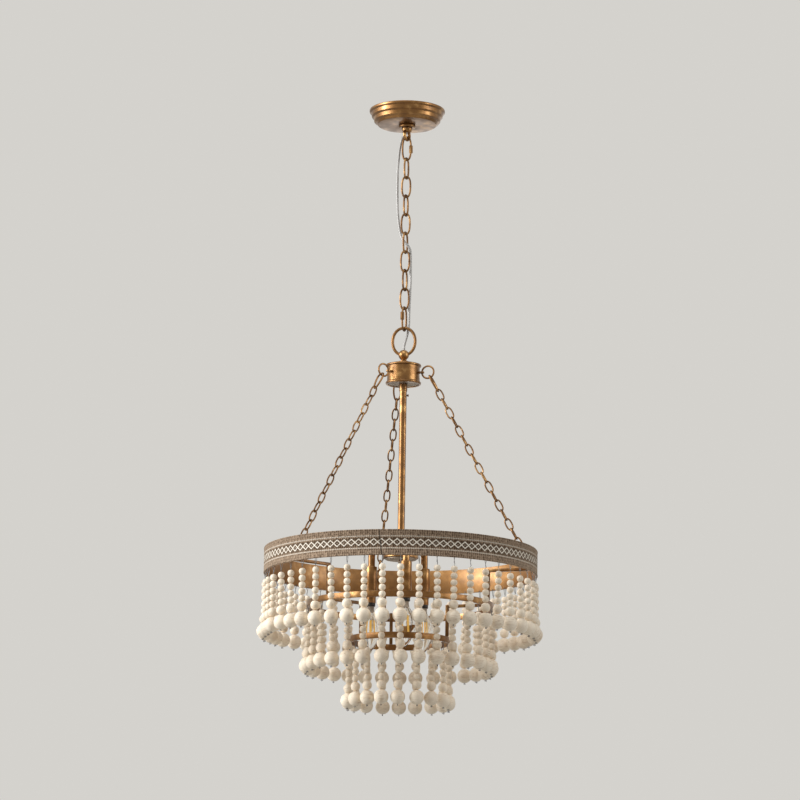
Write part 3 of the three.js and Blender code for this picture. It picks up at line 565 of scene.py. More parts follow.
def scaled(colour, shares):
    return tuple(channel * share for channel, share in zip(colour[:3], shares)) + (1,)


def metal(name, patina, colours, tarnish, roughness, bump_strength, bump_distance=0.0003, metallic=1,
          lacquer=0):
    material, tree, shader = material_with(name)
    bright, mid, dark = colours
    dress(tree, shader, patina, {"Vector": tree.place(), "Bright": bright, "Middle": mid, "Dark": dark,
                                 "Tarnish": tarnish, "Roughness": roughness}, bump_strength, bump_distance)
    shader.inputs["Metallic"].default_value = metallic
    if lacquer:
        tree.fill(shader, {"Coat Weight": lacquer, "Coat Roughness": 0.28})
    return material


# Lacquered brass: tone tints each channel, and rubbing is how bright the worn patches are
def brass(name, patina, tone, tarnish, roughness, rubbing=1.0):
    finishes = bpy.context.scene.chandelier_finishes
    worn = tuple(aged + (bright - aged) * rubbing
                 for aged, bright in zip(finishes.brass_mid, finishes.brass_bright))
    colours = [scaled(colour, tone) for colour in (worn, finishes.brass_mid, finishes.brass_dark)]
    return metal(name, patina, colours, tarnish, roughness, 0.06, lacquer=0.4)


def black_insulator():
    material, tree, shader = material_with("black_insulator")
    speck = tree.noise(tree.place(), 900, 2)
    tree.fill(shader, {"Base Color": tree.blend(speck, (0.012, 0.011, 0.01, 1), (0.05, 0.047, 0.043, 1)),
                       "Roughness": tree.ramp(speck, 0.0, 1.6)})
    return material


def wooden_beads():
    finishes = bpy.context.scene.chandelier_finishes
    material, tree, shader = material_with("wooden_beads")
    tint = tree.add("Attribute", attribute_name="bead_tint").outputs["Fac"]
    dress(tree, shader, grain_group(), {
        "Vector": tree.place(), "Tint": tint, "Light": tuple(finishes.wood_light),
        "Dark": tuple(finishes.wood_dark)}, 0.3)
    shader.inputs["Specular IOR Level"].default_value = 0.35
    return material


def woven_trim():
    finishes = bpy.context.scene.chandelier_finishes
    material, tree, shader = material_with("woven_trim")
    split = tree.add("SeparateXYZ", {0: tree.place("UV")}).outputs
    dress(tree, shader, weave_group(), {
        "Along": split["X"], "Up": split["Y"], "Vector": tree.place(), "Linen": tuple(finishes.linen),
        "Thread": tuple(finishes.thread)}, 0.9, 0.0009)
    tree.fill(shader, {"Specular IOR Level": 0.15, "Sheen Weight": 0.5, "Sheen Tint": (0.95, 0.78, 0.6, 1)})
    return material


# Clear sheath with the two cores showing as paler lines
def clear_flex():
    material, tree, shader = material_with("clear_flex")
    maths = tree.maths
    round_share = tree.add("SeparateXYZ", {0: tree.place("UV")}).outputs["X"]
    cores = maths("ABSOLUTE", maths("SINE", maths("MULTIPLY", round_share, 2 * pi)))
    lay = tree.noise(tree.place(), 500, 2)
    tone = maths("MULTIPLY", tree.ramp(cores, 0.1, 0.7), maths("ADD", maths("MULTIPLY", lay, 0.4), 0.75))
    tree.fill(shader, {"Base Color": tree.blend(tone, (0.28, 0.27, 0.26, 1), (0.54, 0.525, 0.505, 1)),
                       "Roughness": 0.42, "Coat Weight": 0.1})
    return material


# Thin clear glass with a faint ripple; its low IOR keeps the thin wall from bending the view
def lamp_glass():
    material, tree, shader = material_with("lamp_glass")
    ripple = tree.noise(tree.place(), 70, 1)
    bump = tree.add("Bump", {"Strength": 0.02, "Distance": 0.0005, "Height": ripple})
    tree.fill(shader, {"Base Color": (0.985, 0.98, 0.965, 1), "Roughness": 0.02, "IOR": 1.09,
                       "Specular IOR Level": 0.2, "Transmission Weight": 1, "Normal": bump.outputs["Normal"]})
    return material


def filament():
    material, tree, shader = material_with("filament")
    speck = tree.noise(tree.place(), 1400, 2)
    colour = tree.blend(tree.ramp(speck, 0.35, 0.65), (0.88, 0.47, 0.06, 1), (0.95, 0.62, 0.15, 1))
    # the yellow also goes into a faint emission: a painted glow, as if lit, that lights nothing
    tree.fill(shader, {"Base Color": colour, "Emission Color": colour, "Emission Strength": 0.25,
                       "Roughness": 0.5})
    return material


def make_materials():
    patina = patina_group()
    pale = ((0.52, 0.45, 0.37, 1), (0.42, 0.355, 0.285, 1), (0.26, 0.205, 0.155, 1))
    zinc = ((0.75, 0.75, 0.73, 1), (0.6, 0.6, 0.59, 1), (0.38, 0.38, 0.38, 1))
    wire = ((0.32, 0.31, 0.3, 1), (0.19, 0.185, 0.18, 1), (0.08, 0.075, 0.07, 1))
    return {
        "antique_brass": brass("antique_brass", patina, (1.06, 1.04, 1.0), 0.4, 0.3, 0.8),
        "chain_brass": brass("chain_brass", patina, (0.8, 0.78, 0.76), 0.6, 0.34),
        "satin_brass": brass("satin_brass", patina, (1.42, 1.5, 1.75), 0.3, 0.45, 0.3),
        "pale_plate": metal("pale_plate", patina, pale, 0.4, 0.48, 0.05, metallic=0.8),
        "zinc_steel": metal("zinc_steel", patina, zinc, 0.5, 0.34, 0.2),
        "strand_wire": metal("strand_wire", patina, wire, 0.6, 0.4, 0.2, 0.0002, metallic=0.85),
        "black_insulator": black_insulator(),
        "wooden_beads": wooden_beads(),
        "woven_trim": woven_trim(),
        "clear_flex": clear_flex(),
        "lamp_glass": lamp_glass(),
        "filament": filament(),
    }


materials = {}


def finish(name):
    if not materials:
        materials.update(make_materials())
    return materials[name]


# Stage: floor, soft lights, room and the camera

class CHANDELIER_OT_stage(bpy.types.Operator):
    """Sets the floor, the lights, the room's colour and the camera"""
    bl_idname = "chandelier.stage"
    bl_label = "Stage"

    def execute(self, context):
        room_colour = tuple(context.scene.chandelier_finishes.room)
        floor_form = bmesh.new()
        bmesh.ops.create_grid(floor_form, x_segments=1, y_segments=1, size=12,
                              matrix=Matrix.Translation((0, 0, -2.4)))
        mesh = mesh_from(floor_form, "floor")
        mesh.materials.append(self.floor_material(room_colour))
        floor_piece = bpy.data.objects.new("floor", mesh)
        context.scene.collection.objects.link(floor_piece)

        # the eye sees the room's own colour, and the object is lit by less of it
        world = bpy.data.worlds.new("room")
        world.use_nodes = True
        tree = Tree(world.node_tree)
        strength = tree.maths("ADD", tree.maths("MULTIPLY", self.seen_rays(tree), 0.69), 0.31)
        tree.fill(tree.nodes["Background"], {"Color": room_colour, "Strength": strength})
        context.scene.world = world

        for name, place, size, power in (("window_light", (-4.1, -0.9, 0.45), 3.2, 245),
                                         ("side_fill", (4.2, -1.5, 0.2), 2.4, 60),
                                         ("overhead_light", (-0.5, -1.7, 2.7), 2.4, 44),
                                         ("back_light", (0.5, 3.9, -0.55), 2.2, 9)):
            self.soft_light(context, name, place, size, power)
        self.camera(context)
        context.scene.view_settings.view_transform = "Standard"
        return {"FINISHED"}

    # 1 for rays from the eye, by a reflection or through glass too, and 0 for the rest
    def seen_rays(self, tree):
        rays = tree.add("LightPath").outputs
        seen = tree.maths("MAXIMUM", rays["Is Camera Ray"], rays["Is Glossy Ray"])
        return tree.maths("MAXIMUM", seen, rays["Is Transmission Ray"])

    def floor_material(self, colour):
        material, tree, shader = material_with("pale_floor")
        # pale for the eye and in reflections, without more light on the object
        glow = tree.maths("MULTIPLY", self.seen_rays(tree), 0.4)
        tree.fill(shader, {"Base Color": scaled(colour, (0.68, 0.68, 0.68)), "Roughness": 0.9,
                           "Emission Color": colour, "Emission Strength": glow})
        # seen from below, the floor lets the view through
        back = tree.add("NewGeometry").outputs["Backfacing"]
        clear = tree.add("BsdfTransparent").outputs[0]
        mix = tree.add("MixShader", {0: back, 1: shader.outputs[0], 2: clear})
        tree.fill(tree.nodes["Material Output"], {"Surface": mix.outputs[0]})
        return material

    # a round lamp that looks at the shade and stays out of sight through the lamps' glass
    def soft_light(self, context, name, place, size, power):
        data = bpy.data.lights.new(name, "AREA")
        data.shape = "DISK"
        data.size = size
        data.energy = power
        light = bpy.data.objects.new(name, data)
        aim = Vector((0, 0, -0.6)) - Vector(place)
        light.matrix_world = Matrix.Translation(place) @ (-aim).to_track_quat("Z", "Y").to_matrix().to_4x4()
        light.visible_transmission = False
        context.scene.collection.objects.link(light)

    # the view that was fitted to the photograph
    def camera(self, context):
        data = bpy.data.cameras.new("photograph_view")
        data.sensor_width = 36
        data.lens = 153
        camera = bpy.data.objects.new("photograph_view", data)
        context.scene.collection.objects.link(camera)
        pitch, distance, roll = radians(11.4), 5.641, radians(0.85)
        target = Vector((-0.0051, 0, -0.4983))
        forward = Vector((0, cos(pitch), sin(pitch)))
        turned = (-forward).to_track_quat("Z", "Y").to_matrix().to_4x4()
        camera.matrix_world = (Matrix.Translation(target - forward * distance) @ turned
                               @ Matrix.Rotation(roll, 4, "Z"))
        context.scene.camera = camera


# Flex: one length per chain joint, each crossing its own joint

def route_curve(points, samples):
    # centripetal curve through the points, as the part's source draws it
    points = [Vector(point) for point in points]
    padded = [points[0] * 2 - points[1], *points, points[-1] * 2 - points[-2]]
    line = []
    for index in range(1, len(padded) - 2):
        before, start, end, after = padded[index - 1:index + 3]
        first = max(sqrt((start - before).length), 1e-6)
        second = max(sqrt((end - start).length), 1e-6)
        third = max(sqrt((after - end).length), 1e-6)
        leave = ((start - before) / first - (end - before) / (first + second)
                 + (end - start) / second) * second
        arrive = ((end - start) / second - (after - start) / (second + third)
                  + (after - end) / third) * second
        for step in range(samples):
            t = step / samples
            line.append(start * (2 * t ** 3 - 3 * t ** 2 + 1) + leave * (t ** 3 - 2 * t ** 2 + t)
                        + end * (-2 * t ** 3 + 3 * t ** 2) + arrive * (t ** 3 - t ** 2))
    line.append(points[-1])
    return line


def flex_line(width):
    loop_centre = low("canopy_loop")[2] + bpy.context.scene.chandelier_canopy.loop_width / 2
    ball_z = low("ball_clasp")[2] + BALL_FOOT + bpy.context.scene.chandelier_hub.ball_diameter / 2
    levels = [loop_centre, *(middle(name)[2] for name in CHAIN_BODIES), middle("top_ring")[2], ball_z]
    nipple_end = low("threaded_nipple")[2]
    flex_end = low("flex_cord")[2]
    points = [Vector((0, 0, z)) for z in (-2 * MM, nipple_end / 2, nipple_end)]
    for place, across, back in FLEX_ROUTE:
        above = min(floor(place), len(levels) - 2)
        height = levels[above] + (levels[above + 1] - levels[above]) * (place - above)
        points.append(Vector((across * width, back * width, height)))
    points += [Vector((0, 0, flex_end + 3.2 * MM)), Vector((0, 0, flex_end))]
    return route_curve(points, 5)


# Cuts the flex's line at each of the given heights, and ends both lengths on the cut
def cut_line(line, heights):
    lengths = [[]]
    for point in line:
        if len(lengths) <= len(heights) and point.z < heights[len(lengths) - 1]:
            before = lengths[-1][-1]
            share = (before.z - heights[len(lengths) - 1]) / (before.z - point.z)
            joint = before.lerp(point, share)
            lengths[-1].append(joint)
            lengths.append([joint.copy()])
        lengths[-1].append(point)
    return lengths


# The flex's own UV: the share of a turn round the flex, and the height
def unwrap_flex(form, points):
    layer = form.loops.layers.uv.new("UVMap")
    for face in form.faces:
        centre_z = face.calc_center_median().z
        near = min(points, key=lambda point: abs(point.z - centre_z))
        for loop in face.loops:
            out = loop.vert.co - near
            loop[layer].uv = ((atan2(out.y, out.x) / (2 * pi)) % 1, loop.vert.co.z)


class CHANDELIER_OT_flex(bpy.types.Operator):
    """Lays the flex down through the chain"""
    bl_idname = "chandelier.flex"
    bl_label = "Flex"

    def execute(self, context):
        chain = context.scene.chandelier_chain
        lengths = cut_line(flex_line(chain.link_width), [-depth * MM for depth in FLEX_CUTS])
        for index, points in enumerate(lengths):
            form = bmesh.new()
            sweep(form, points, chain.flex_diameter / 2, 16)
            unwrap_flex(form, points)
            piece = piece_from(form, "flex_length_%d" % (index + 1), None, "clear_flex",
                               replaces="flex_cord" if index == 0 else None)
            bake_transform(piece)
        return {"FINISHED"}


# Canopy with its collar nut and loop, and the metal fittings that it hides

class CHANDELIER_OT_canopy(bpy.types.Operator):
    """Makes the canopy, its collar nut and its loop"""
    bl_idname = "chandelier.canopy"
    bl_label = "Canopy"

    def execute(self, context):
        sizes = context.scene.chandelier_canopy
        wall = sizes.wall
        outside = outline_at(0, (63.5, 0), (63.5, -3.8), (60.4, -5.1), (59.7, -11.7), (56.5, -13.3),
                             (55.7, -19.9), (51.7, -21.4), (49.5, -25.5))
        hole, face = 5.1 * MM, -25.5 * MM
        inside = [(radius - wall, min(0, height + wall)) for radius, height in outside[1:]]
        outline = [*outside, (hole, face), (hole, face + wall), *inside[::-1], (63.5 * MM - wall, 0)]
        turned_piece("canopy_shell", "ceiling", "antique_brass", "canopy_cover", outline, 96, closed=True,
                     edge_radius=sizes.edge, segments=3)

        top, bottom = top_and_bottom("collar_nut")
        outline = outline_at(top, (5.1, 0), (14, 0)) + outline_at(bottom, (14, 1.2), (12.6, 0), (5.1, 0))
        turned_piece("collar_knob", "ceiling", "antique_brass", "collar_nut", outline, 64, closed=True,
                     edge_radius=0.5 * MM)

        top, bottom = top_and_bottom("canopy_loop")
        outline = outline_at(top, (0, -3.6), (4.8, -3.6), (4.8, 0), (8.9, 0), (8.9, -2.6))
        outline += outline_at(top - 7.8 * MM, (7.2, 0.8), (5.6, 0), (0, 0))
        form = bmesh.new()
        turn(form, outline, 48, edge_radius=0.5 * MM)
        place = Matrix.Translation((0, 0, bottom + sizes.loop_width / 2)) @ Matrix.Rotation(
            radians(TURNED_PLANE), 4, "Z")
        wire_ring(form, sizes.loop_width, sizes.loop_width, sizes.loop_wire, 48, 16, place)
        piece_from(form, "canopy_eye", "ceiling", "antique_brass", replaces="canopy_loop")

        for name in ("ceiling_bracket", "threaded_nipple", "lock_nut"):
            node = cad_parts[name]
            node.data.materials.clear()
            node.data.materials.append(finish("zinc_steel"))
        return {"FINISHED"}


# Main chain and the big ring

class CHANDELIER_OT_chain(bpy.types.Operator):
    """Makes the main chain's links, the two quick links' sleeves and the big ring"""
    bl_idname = "chandelier.chain"
    bl_label = "Main chain"

    def execute(self, context):
        sizes = context.scene.chandelier_chain
        wire = sizes.link_wire
        for index, name in enumerate(CHAIN_BODIES):
            plane = FACING_PLANE if index % 2 == 0 else TURNED_PLANE
            place = Matrix.Translation(middle(name)) @ Matrix.Rotation(radians(plane), 4, "Z")
            top, bottom = top_and_bottom(name)
            form = bmesh.new()
            wire_ring(form, sizes.link_width, top - bottom, wire, 48, 14, place, roundness=2.5)
            if name in PLAIN_LINKS:
                # the welded joint half way up one side
                side = place @ Matrix.Translation(((sizes.link_width - wire) / 2, 0, 0))
                weld = ((0.9, -0.9), (1.14, -0.4), (1.14, 0.4), (0.9, 0.9))
                turn(form, [(wire * share / 2, at * MM) for share, at in weld], 14, side)
            piece_from(form, name + "_wire", name, "chain_brass", replaces=name)

        bore, radius, half, chamfer = wire / 2 + 0.1 * MM, 3.2 * MM, 6.7 * MM, 0.5 * MM
        outline = [(bore, -half), (radius - chamfer, -half), (radius, -half + chamfer),
                   (radius, half - chamfer), (radius - chamfer, half), (bore, half)]
        for end in ("upper", "lower"):
            name = "quick_link_sleeve_" + end
            turned_piece(name + "_nut", "quick_link_" + end, "antique_brass", name, outline, 6, sharp=25,
                         matrix=Matrix.Translation(middle(name)), closed=True, edge_radius=0.25 * MM)

        top, bottom = top_and_bottom("top_ring")
        place = Matrix.Translation(middle("top_ring")) @ Matrix.Rotation(radians(FACING_PLANE), 4, "Z")
        form = bmesh.new()
        wire_ring(form, sizes.ring_width, top - bottom, sizes.ring_wire, 72, 20, place, roundness=2.1)
        piece_from(form, "big_ring", "ring", "antique_brass", replaces="top_ring")
        return {"FINISHED"}


# Hub: ball clasp, cap, drum with its lugs, bottom plate, rod, coupling and set screw

class CHANDELIER_OT_hub(bpy.types.Operator):
    """Makes the hub below the big ring and the centre rod"""
    bl_idname = "chandelier.hub"
    bl_label = "Hub and rod"

    def execute(self, context):
        sizes = context.scene.chandelier_hub
        self.ball(sizes.ball_diameter / 2)

        lip = sizes.lip_diameter / 2
        drum = sizes.drum_diameter / 2
        top, bottom = top_and_bottom("hub_cap")
        lip_top = top - 4.6 * MM
        outline = [*outline_at(top, (0, 0), (7.6, 0), (14, -1.1), (21, -2.7)),
                   (drum, lip_top), (lip - 0.5 * MM, lip_top - 0.5 * MM), (lip, lip_top - 1.4 * MM),
                   (lip, bottom + 1.1 * MM), (lip - 0.8 * MM, bottom + 0.2 * MM), (drum + 0.4 * MM, bottom),
                   (drum + 0.3 * MM, lip_top - 1.8 * MM), *outline_at(top, (7.5, -1.8), (0, -1.8))]
        turned_piece("hub_lid", "hub", "antique_brass", "hub_cap", outline, 72)

        self.drum(sizes, drum, lip, bottom)

        top, bottom = top_and_bottom("hub_plate")
        outline = outline_at(top, (0, 0), (25.3, 0))
        outline += outline_at(bottom, (25.3, 0.3), (24.9, 0), (16, 0), (15.4, 0.4), (0, 0.4))
        turned_piece("hub_bottom_plate", "hub", "pale_plate", "hub_plate", outline, 64)

        rod, bore = sizes.rod_diameter / 2, 4 * MM
        top, bottom = top_and_bottom("centre_rod")
        outline = [(bore, bottom), (rod, bottom), (rod, top), (bore, top)]
        turned_piece("rod_tube", "hub", "antique_brass", "centre_rod", outline, 40, closed=True)

        top, bottom = top_and_bottom("rod_coupling")
        inside, outside = rod + 0.2 * MM, 6.8 * MM
        outline = [(inside, bottom), (outside - 0.4 * MM, bottom), (outside, bottom + 0.4 * MM),
                   (outside, bottom + 2.6 * MM), (outside - 0.4 * MM, bottom + 3 * MM),
                   (outside, bottom + 3.4 * MM), (outside, top), (inside, top)]
        turned_piece("rod_collar", "hub", "antique_brass", "rod_coupling", outline, 40, closed=True)

        # the set screw lies along x, so its outline's heights are distances from the axis
        start, end = low("set_screw")[0], high("set_screw")[0]
        place = Matrix.Translation((0, 0, middle("set_screw").z)) @ Matrix.Rotation(pi / 2, 4, "Y")
        outline = outline_at(start, (0, 0), (1.3, 0), (1.3, 0.9), (2, 0.9))
        outline += outline_at(end, (2, -0.5), (1.5, 0), (0, 0))
        turned_piece("rod_set_screw", "hub", "chain_brass", "set_screw", outline, 20, matrix=place)
        return {"FINISHED"}

    # the ball with its rivet's head on the front
    def ball(self, radius):
        foot = low("ball_clasp")[2]
        ball_z = foot + BALL_FOOT + radius
        form = bmesh.new()
        outline = [(0, ball_z + radius)]
        outline += [(radius * sin(radians(angle)), ball_z + radius * cos(radians(angle)))
                    for angle in range(8, 146, 8)]
        outline += outline_at(foot, (4.7, 2.6), (5.4, 1.5), (7.4, 0.8), (7.5, 0), (0, 0))
        turn(form, outline, 40)
        rivet = (Matrix.Translation((0, 0, ball_z)) @ Matrix.Rotation(radians(FACING_PLANE), 4, "Z")
                 @ Matrix.Rotation(pi / 2, 4, "X"))
        turn(form, outline_at(radius, (2.5, -1.2), (2.5, 0.2), (1.7, 0.6), (0, 0.7)), 20, rivet)
        piece_from(form, "ball_and_rivet", "hub", "antique_brass", replaces="ball_clasp")

    # the waisted drum with a lug for each side chain; its upper lip is the cap's
    def drum(self, sizes, radius, lip, cap_bottom):
        top, bottom = top_and_bottom("hub_drum")
        inner = radius - 1.8 * MM
        waist = (cap_bottom + bottom + 4.2 * MM) / 2
        outline = [(inner, top), (radius, top), (radius, cap_bottom), (radius - 0.6 * MM, waist),
                   (radius, bottom + 4.6 * MM), (lip - 0.8 * MM, bottom + 4.2 * MM),
                   (lip, bottom + 3.2 * MM), (lip, bottom + 1.2 * MM), (lip - 0.9 * MM, bottom),
                   (inner + 0.3 * MM, bottom), (inner, bottom + 0.4 * MM)]
        form = bmesh.new()
        turn(form, outline, 72, closed=True)
        half = sizes.lug_width / 2
        tip = radius + 9 * MM - half
        root = radius - 1.2 * MM
        flag = [(root, -half), *circle_points(tip, 0, half, 13, -pi / 2, pi), (root, half)]
        hole = circle_points(radius + 5.2 * MM, 0, 2.2 * MM, 16)
        for direction in CHAIN_DIRECTIONS:
            place = Matrix.Translation((0, 0, middle("side_ring_1")[2])) @ facing_out(direction)
            plate(form, flag, [hole], 3 * MM, 0.4 * MM, place)
        piece_from(form, "hub_body", "hub", "antique_brass", replaces="hub_drum")


# Light cluster: body, cover, arms, socket cups and lamp holders

class CHANDELIER_OT_cluster(bpy.types.Operator):
    """Makes the light cluster, its arms, cups and lamp holders"""
    bl_idname = "chandelier.cluster"
    bl_label = "Light cluster"

    def execute(self, context):
        sizes = context.scene.chandelier_lamps
        top, bottom = top_and_bottom("cluster_body")
        outline = outline_at(top, (0, 0), (8, 0), (24.5, -0.2), (27, -1.2), (28.5, -3), (29, -5))
        outline += outline_at(bottom, (29, 1), (28, 0), (0, 0))
        turned_piece("cluster_drum", "hub", "antique_brass", "cluster_body", outline, 64)

        top, bottom = top_and_bottom("cluster_cover")
        outline = outline_at(top, (0, 0), (25.5, 0), (25.5, -1.2), (25, -1.6), (5.2, -1.6), (4.6, -2.2),
                             (3, -2.8), (3.4, -3.6), (4.9, -4.6), (4.9, -5.8))
        outline += outline_at(bottom, (3.6, 0.4), (0, 0))
        turned_piece("cluster_lid", "hub", "pale_plate", "cluster_cover", outline, 48)

        for number, direction in enumerate(LAMP_DIRECTIONS, 1):
            side = facing_out(direction)
            self.arm(number, side, sizes.arm_reach, sizes.arm_diameter / 2)
            place = side @ Matrix.Translation((sizes.arm_reach, 0, 0))
            self.cup(number, place, sizes.cup_diameter / 2)
            self.holder(number, place)
        return {"FINISHED"}

    # a tube out of the body and round a bend, with the flange where it leaves the body
    def arm(self, number, side, reach, radius):
        name = "arm_%d" % number
        top, bottom = top_and_bottom(name)
        arm_z = top - radius
        bend = 11 * MM
        points = [(29.3 * MM, 0, arm_z), (34 * MM, 0, arm_z)]
        points += [(reach - bend + bend * sin(radians(angle)), 0, arm_z - bend + bend * cos(radians(angle)))
                   for angle in range(0, 91, 10)]
        points += [(reach, 0, bottom)]
        form = bmesh.new()
        made = sweep(form, points, radius, 24)
        flange = [(radius, 29.4 * MM), (7.6 * MM, 29.4 * MM), (7.6 * MM, 30.6 * MM), (6.9 * MM, 31.2 * MM),
                  (radius, 31.2 * MM)]
        lying = Matrix.Translation((0, 0, arm_z)) @ Matrix.Rotation(pi / 2, 4, "Y")
        made += turn(form, flange, 24, lying, closed=True)
        bmesh.ops.transform(form, matrix=side, verts=[vert for vert in made if vert.is_valid])
        piece_from(form, "arm_tube_%d" % number, "hub", "antique_brass", replaces=name)

    def cup(self, number, place, cup):
        name = "socket_cup_%d" % number
        top, bottom = top_and_bottom(name)
        shoulder = bottom + 12.5 * MM
        outline = [(0, top), (cup - 1.8 * MM, top), (cup - 0.4 * MM, top - 0.5 * MM), (cup, top - 1.6 * MM),
                   (cup, shoulder + 0.5 * MM), (cup - 0.3 * MM, shoulder - 0.3 * MM),
                   *outline_at(shoulder, (8.3, -1.7), (8, -2.4)),
                   *outline_at(bottom, (8, 1.4), (8.2, 1), (8.2, 0.3), (7.9, 0), (7, 0)),
                   *outline_at(top, (7, -1.2), (0, -1.2))]
        turned_piece("lamp_cup_%d" % number, "hub", "antique_brass", name, outline, 40, matrix=place)

    def holder(self, number, place):
        name = "lamp_holder_%d" % number
        top, bottom = top_and_bottom(name)
        lamp_top = high("lamp_%d" % number)[2]
        outline = outline_at(top, (0, 0), (6.6, 0))
        outline += outline_at(bottom, (6.6, 5.5), (7.2, 5.2), (7.3, 4.6), (7.3, 0.6), (6.8, 0), (6.1, 0))
        outline += outline_at(lamp_top, (6.1, 0.3), (0, 0.3))
        turned_piece("insulator_%d" % number, "hub", "black_insulator", name, outline, 32, matrix=place)


# Lamps: threaded cap, glass, stem and filament sticks

# Half outline of a lamp's glass, as shares of its widest radius and of its height down from the cap
GLASS_OUTLINE = [
    (0.36, 0.0), (0.4, 0.03), (0.58, 0.1), (0.78, 0.18), (0.92, 0.27), (0.99, 0.36), (1, 0.43), (0.97, 0.52),
    (0.89, 0.62), (0.76, 0.72), (0.58, 0.82), (0.38, 0.9), (0.2, 0.96), (0.08, 0.99), (0, 1),
]


class CHANDELIER_OT_lamps(bpy.types.Operator):
    """Makes the three lamps with their filaments"""
    bl_idname = "chandelier.lamps"
    bl_label = "Lamps"

    def execute(self, context):
        sizes = context.scene.chandelier_lamps
        for number, direction in enumerate(LAMP_DIRECTIONS, 1):
            name = "lamp_%d" % number
            top, tip = top_and_bottom(name)
            neck = top - 30 * MM
            place = facing_out(direction) @ Matrix.Translation((sizes.arm_reach, 0, 0))
            self.glass(number, name, place, neck, neck - tip, sizes.glass_diameter / 2)

            # the thread's crests and roots, one pitch after another
            outline = outline_at(top, (0, 0), (3, 0), (3.4, -1.2))
            pitch = 2.4 * MM
            depth = pitch
            while depth < 27 * MM:
                outline += [(5.7 * MM, top - depth - 0.4 * MM), (5.1 * MM, top - depth - 1.4 * MM)]
                depth += pitch
            outline += outline_at(top, (5.8, -28)) + outline_at(neck, (5.8, 0), (5.9, -0.8), (0, -0.8))
            turned_piece("lamp_screw_cap_%d" % number, "hub", "pale_plate", None, outline, 32, "lamp_glass",
                         matrix=place)

            stem = outline_at(neck, (0, -0.8), (4, -0.9), (2.4, -5), (1.6, -11), (1.2, -13.4), (0, -13.8))
            turned_piece("lamp_stem_%d" % number, "hub", "lamp_glass", None, stem, 20, matrix=place)

            self.filaments(number, place, neck, sizes.filament_count)
        return {"FINISHED"}

    def glass(self, number, name, place, neck, drop, radius):
        wall = 0.6 * MM
        outer = [(share * radius, neck - down * drop) for share, down in GLASS_OUTLINE]
        inner = [(max(out - wall, 0), height + (wall if out == 0 else 0)) for out, height in outer]
        form = bmesh.new()
        turn(form, outer + inner[::-1][:-1] + [(outer[0][0] - wall, outer[0][1])], 48, place)
        bmesh.ops.holes_fill(form, edges=form.edges, sides=0)
        piece_from(form, "lamp_bulb_%d" % number, "hub", "lamp_glass", replaces=name)

    # thick sticks that splay a little, and thin wires from the stem and to the ring under them
    def filaments(self, number, place, neck, count):
        sticks = bmesh.new()
        wires = bmesh.new()

        def spot(radius, angle, depth):
            return place @ Vector((radius * MM * cos(angle), radius * MM * sin(angle), neck - depth * MM))

        for index in range(count):
            angle = 2 * pi * index / count + 0.5
            foot, end = spot(4.6, angle, 15), spot(6.2, angle, 42)
            sweep(sticks, [foot, foot.lerp(end, 0.33), foot.lerp(end, 0.67), end], 0.8 * MM, 8)
            sweep(wires, [spot(0.6, angle, 13), foot], 0.25 * MM, 6)
            sweep(wires, [end, spot(0, angle, 44)], 0.25 * MM, 6)
        piece_from(sticks, "filaments_%d" % number, "hub", "filament")
        piece_from(wires, "filament_wires_%d" % number, "hub", "strand_wire")


# Band with its trim and hooks, the two lower hoops and the brackets

